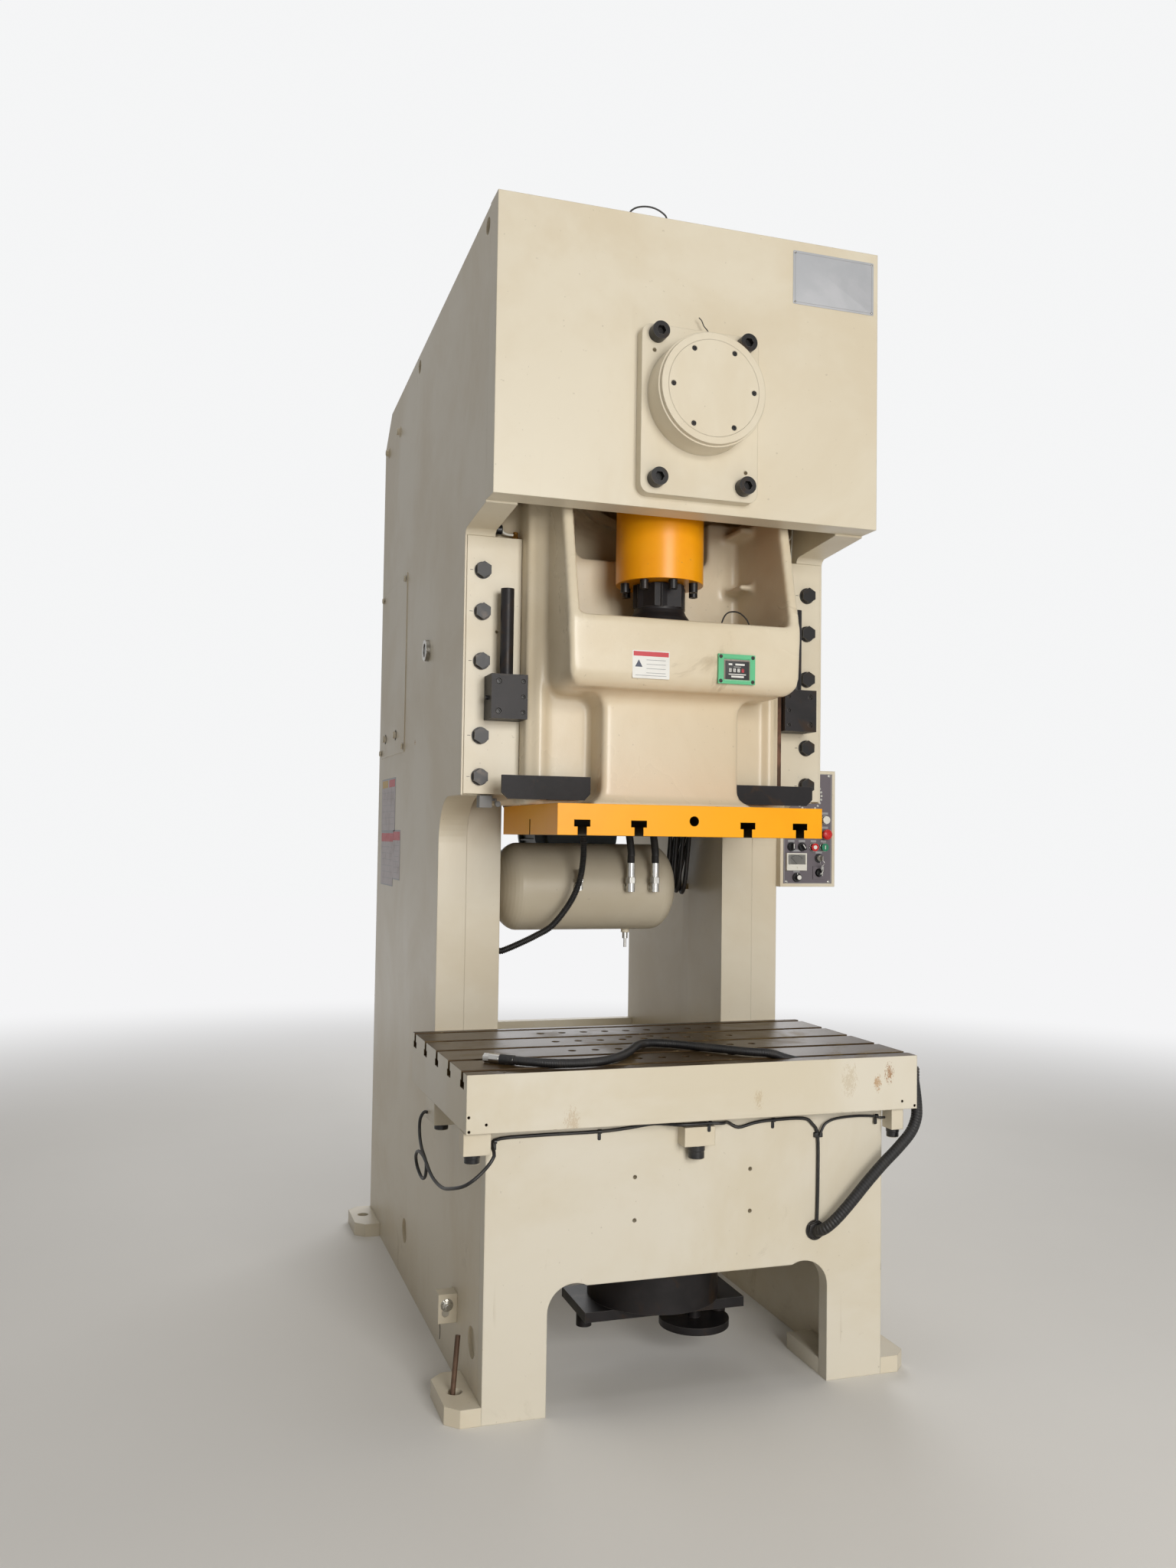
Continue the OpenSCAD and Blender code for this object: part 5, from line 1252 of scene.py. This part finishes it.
counter = {"digits": "0527", "digitZ": 2141, "digitX": (133, 147, 161, 175),
           "ring": (156.5, 2141, 93, 67), "plate": (156.5, 2141, 79, 56), "bars": (
               (-23, 18, 12, 5.4), (9, 18, 31, 5.4), (0, 10.5, 24, 1.0), (0, -12.5, 58, 3.0),
               (1, -19.5, 42, 5.6))}


def makeDigits(settings):
    # The drums of the counter with plain figures, the last one red
    piece = Piece("counter-drums")
    y = faceY["counter"] - 1.4
    for i, x in enumerate(settings["digitX"]):
        piece.slab("front", (x, y, settings["digitZ"]), roundRectangle(0.0078, 0.0112, 0.0008, 2), 0.0008)
        piece.paint(labelRed if i == 3 else labelWhite)
    u, v, w = facing["front"]
    for digit, x in zip(settings["digits"], settings["digitX"]):
        words = bpy.data.curves.new("digit", "FONT")
        words.body, words.size, words.align_x, words.align_y = digit, 0.0115, "CENTER", "CENTER"
        words.extrude = 0.0001
        carrier = linked("digit", words)
        mesh = finalMesh(carrier)
        place = Matrix((u, v, w)).transposed().to_4x4()
        place.translation = at(x, y, settings["digitZ"]) + w * 0.0009
        mesh.transform(place)
        piece.bm.from_mesh(mesh)
        bpy.data.objects.remove(carrier)
    bmesh.ops.remove_doubles(piece.bm, verts=[v for v in piece.bm.verts], dist=1e-7)
    piece.paint(printBlack)
    return piece.done("slide", "white_plastic")


def makeCounterPrint(settings):
    # Ring with its scale, the dark plate on it and plain bars for its lettering
    piece = Piece("counter-print")
    face = faceY["counter"]
    x, z, w, h = settings["ring"]
    piece.slab("front", (x, face, z), roundRectangle(w / 1000, h / 1000, 0.002, 3), 0.0009, 0.0002)
    piece.paint(ringBrown)
    for i in range(29):
        for edge in (1, -1):
            piece.slab("front", (x - 42 + i * 3, face - 0.8, z + edge * (h / 2 - 2.6)),
                       rectangle(0.0006, 0.0036 if i % 5 == 4 else 0.0026), 0.0003)
    piece.paint(labelWhite)
    x, z, w, h = settings["plate"]
    piece.slab("front", (x, face - 0.8, z), roundRectangle(w / 1000, h / 1000, 0.001, 3), 0.0007, 0.0002)
    piece.paint(printBlack)
    for dx, dz, wide, tall in settings["bars"]:
        piece.slab("front", (x + dx, face - 1.4, z + dz),
                   roundRectangle(wide / 1000, tall / 1000, 0.0004, 2), 0.0003)
    piece.paint(labelWhite)
    piece.done("slide", "black_plastic")


makeNameplate(plates["nameplate"])
makeLeftLabels(plates["leftLabels"])
makeSlideLabel(plates["slideLabel"])
makeDigits(counter)
makeCounterPrint(counter)
print("plates and counter made")


sightGlassDark = plastic("sight glass", srgb(30, 32, 30), rough=0.06, grain=0.0, dust=0.05, edge=0.0004)
# Dark brown steel for the slide's edge beside the right gib: partly oil stain, partly painted shade of
# the gap there
oilAndGapShadeSteel = metal("oily slide edge with painted gap shade", srgb(104, 70, 50), srgb(76, 48, 32), rough=0.36, oil=0.6,
                  stretch=(40.0, 40.0, 3.0), metallic=0.4)

# Small screws, caps, clips and wires that the solids leave out; all in millimetres
fittings = {
    "sensorCaps": (  # x, y, z low, z high, radius
        (-671, -362, 727, 752, 21), (-4, -360, 699, 737, 23), (645, -362, 724, 750, 18),
        (-665, 80, 724, 748, 21)),
    "clips": (  # x, y of the face, z of the cable's centre
        (-604, -345, 779), (-293, -332, 786), (25, -384, 803), (254, -332, 789), (598, -340, 784)),
    "clampScrews": (  # x, y, z, radius
        (533, -23, 2008, 8.4), (533, -23, 2100, 8.4), (455, -23, 2006, 6.5), (455, -23, 2054, 6.5),
        (455, -23, 2102, 6.5)),
    "bracketBolt": (-657, -12, 222, 19),
    "gibMarks": {"x": (-603, 531), "y": 71, "z": (1808, 1937, 2171, 2327, 2458)},
    "rod": {"from": (-683, -219, 22), "to": (-660, -180, 196), "radius": 7.5},
    "footPad": (440.2, 527.8, -281.8, -70),
    # Strip on the slide's edge, oil stain and painted gap shade: x, y, z, width, height
    "oilAndGapShadeStrip": (429, 0, 1954, 20, 304),
    "crossMark": (faceX["side"], 864, 1966),
    # Wires and pipes: radius, points
    "wires": (
        (2.8, ((-213, -262, 3499), (-209, -262, 3514), (-189, -262, 3529), (-157, -262, 3537),
               (-125, -262, 3534), (-97, -262, 3519), (-90, -262, 3499))),
        (1.6, ((28, -318, 3105), (26, -316, 3150), (24, -312, 3162), (14, -310, 3174), (6, -310, 3190),
               (-3, -310, 3198))),
        (1.1, ((-676, -6, 176), (-676, -6, 165), (-675, -6, 145), (-676, -6, 122)))),
    "tubWire": (
        (2.6, ((216, 20, 2211), (222, 20, 2290), (230, 20, 2338), (246, 20, 2367), (271, 20, 2376),
               (299, 20, 2370), (326, 20, 2342), (338, 22, 2290), (342, 24, 2211))),),
    "greasePipe": (
        (4.2, ((-510, 92, 2720), (-508, 92, 2633), (-506, 92, 2606), (-498, 92, 2589), (-482, 92, 2583),
               (-462, 92, 2583))),),
    "thinPipes": (
        (2.2, ((520, 92, 2720), (521, 92, 2680), (520, 92, 2644), (518, 92, 2604), (517, 92, 2566))),
        (2.2, ((524, 96, 2690), (522, 96, 2672), (514, 96, 2654), (500, 98, 2640), (486, 100, 2566)))),
    # Turned parts: place, profile of radius and height
    "pipeEnds": (
        ("up", (-458, 92, 2566.5), ((0, 0), (10, 0), (10, 10), (8.5, 12), (8.5, 24), (6.5, 26), (0, 26)),
         20, bronzeMetal),
        ("right", (-528, 96, 2598), ((0, 0), (19, 0), (19, 6), (16, 8), (16, 24), (14, 26), (0, 26)),
         24, blackPlastic)),
    "lens": (
        ((-634, 641, 2277), ((0, -0.2), (23.7, -0.2), (23.7, 1.4), (20, 2.6), (12, 3.6), (0, 4)),
         32, sightGlassDark),
        ((-639, 641, 2277), ((24.5, -0.2), (37.5, -0.2), (36, 1.6), (26.2, 1.6), (24.5, -0.2)),
         36, platedSteel)),
}


def socketScrew(piece, view, centre, r):
    # Head with a hexagon socket, its top towards the view
    r /= 1000
    piece.turned(view, centre, [(0, -0.010), (r, -0.010), (r, -0.0012), (r - 0.0012, 0), (r * 0.55, 0),
                                (r * 0.5, -0.005), (0, -0.005)], 24)


def makeSensorCaps(rows):
    piece = Piece("sensor-caps")
    for x, y, low, high, r in rows:
        r, h = r / 1000, (high - low) / 1000
        piece.turned("up", (x, y, low), [(0, -0.001), (r - 0.002, -0.001), (r + 0.0006, 0.0015),
                                         (r + 0.0006, h * 0.55), (r + 0.002, h * 0.6),
                                         (r + 0.002, h - 0.0004), (0, h - 0.0004)], 28)
    piece.paint(blackPlastic)
    piece.done("frame", "black_plastic")


def makeClips(rows):
    # A strap over the cable and its tab, screwed to the face
    piece = Piece("cable-clips")
    turns = [math.pi * (i / 9 - 0.5) for i in range(10)]
    strap = [(math.cos(a) * 0.0068, math.sin(a) * 0.0068) for a in turns]
    strap += [(math.cos(a) * 0.0054, math.sin(a) * 0.0054) for a in reversed(turns)]
    for x, y, z in rows:
        centre = at(x - 5, y, z) - axisY * 0.0056
        addPrism(piece.bm, strap, centre, -axisY, axisZ, axisX, 0.010)
        piece.slab("front", (x, y, z - 16), roundRectangle(0.010, 0.020, 0.004, 4), 0.0018)
        piece.turned("front", (x, y - 1.8, z - 17),
                     [(0, 0), (0.0032, 0), (0.0028, 0.0016), (0, 0.002)], 14)
    piece.paint(blackPlastic)
    piece.slab("front", (403, -332, 737), roundRectangle(0.026, 0.014, 0.002, 3), 0.0125, 0.001)
    piece.paint(blackRubber)
    piece.done("frame", "black_plastic")


def makeScrews(settings):
    piece = Piece("clamp-screws")
    for side in (-1, 1):
        for x, y, z, r in settings["clampScrews"]:
            socketScrew(piece, "front", (side * x, y, z), r)
    piece.paint(screwSteel)
    x, y, z, r = settings["bracketBolt"]
    piece.turned("front", (x, y, z), [(0, 0), (r / 1000, 0), (r / 1000, 0.0024), (0, 0.0024)], 28)
    piece.slab("front", (x, y - 2.4, z), ring(0.0158, 6, 0.3), 0.0098, 0.0012)
    piece.turned("front", (x, y - 12, z),
                 [(0, 0), (0.0088, 0), (0.0088, 0.009), (0.0074, 0.011), (0, 0.011)], 20)
    piece.paint(platedSteel)
    piece.done("frame", "machined_steel")


def makeGibMarks(settings):
    piece = Piece("gib-marks")
    for x in settings["x"]:
        for z in settings["z"]:
            piece.slab("front", (x, settings["y"], z), rectangle(0.010, 0.0016), 0.0004, lift=-0.0001)
    piece.paint(printBlack)
    piece.done("frame", "black_steel")


def addWires(piece, rows, sides=8):
    for r, points in rows:
        piece.tube(catmull(route(points), 6), r / 1000, sides)


def makeWires(settings):
    piece = Piece("loose-wires")
    addWires(piece, settings["wires"])
    piece.paint(cableBlack)
    piece.done("frame", "black_rubber", 60)
    rod = settings["rod"]
    piece = Piece("anchor-rod")
    a, b = at(*rod["from"]), at(*rod["to"])
    piece.tube([a + (b - a) * (i / 8) for i in range(9)], rod["radius"] / 1000, 16)
    piece.paint(rustySteel)
    piece.done("frame", "machined_steel")
    piece = Piece("tub-wire")
    addWires(piece, settings["tubWire"])
    piece.paint(cableBlack)
    piece.done("slide", "black_rubber", 60)


def makeLubePipes(settings):
    # Grease pipe and switch above the left gib, thin pipes above the right one
    piece = Piece("lube-pipes")
    addWires(piece, settings["greasePipe"], 12)
    addWires(piece, settings["thinPipes"])
    piece.paint(whitePlastic)
    for view, centre, profile, sides, material in settings["pipeEnds"]:
        piece.turned(view, centre, [(r / 1000, z / 1000) for r, z in profile], sides)
        piece.paint(material)
    piece.done("frame", "white_plastic", 40)


def makeSightLens(settings):
    # Dark glass in its bright ring, and the small crossed mark on the plate behind it
    piece = Piece("sight-lens")
    for centre, profile, sides, material in settings["lens"]:
        piece.turned("left", centre, [(r / 1000, z / 1000) for r, z in profile], sides)
        piece.paint(material)
    for w, h in ((0.018, 0.0026), (0.0026, 0.018)):
        piece.slab("left", settings["crossMark"], rectangle(w, h), 0.0008, lift=-0.0001)
    piece.paint(bronzeMetal)
    piece.done("frame", "machined_steel")


def makeFootPads(settings):
    # The front foot plates reach inward behind the legs
    inner, outer, front, back = settings["footPad"]
    piece = Piece("foot-pads")
    for side in (-1, 1):
        piece.slab("up", (side * (inner + outer) / 2, (front + back) / 2, 0),
                   rectangle((outer - inner) / 1000, (back - front) / 1000), 0.050, 0.0015)
    piece.paint(bedPaint)
    piece.done("frame", "cream_paint")


def makeOilAndGapShadeStrip(settings):
    # Oily edge of the slide beside the right gib, darkened also as painted shade of the gap there
    x, y, z, w, h = settings["oilAndGapShadeStrip"]
    piece = Piece("slide-oil-and-gap-shade-strip")
    piece.slab("front", (x, y, z), rectangle(w / 1000, h / 1000), 0.0006, lift=-0.0001)
    piece.paint(oilAndGapShadeSteel)
    piece.done("slide", "machined_steel")


makeSensorCaps(fittings["sensorCaps"])
makeClips(fittings["clips"])
makeScrews(fittings)
makeGibMarks(fittings["gibMarks"])
for makeFitting in (makeWires, makeLubePipes, makeSightLens, makeOilAndGapShadeStrip, makeFootPads):
    makeFitting(fittings)
print("small fittings made")
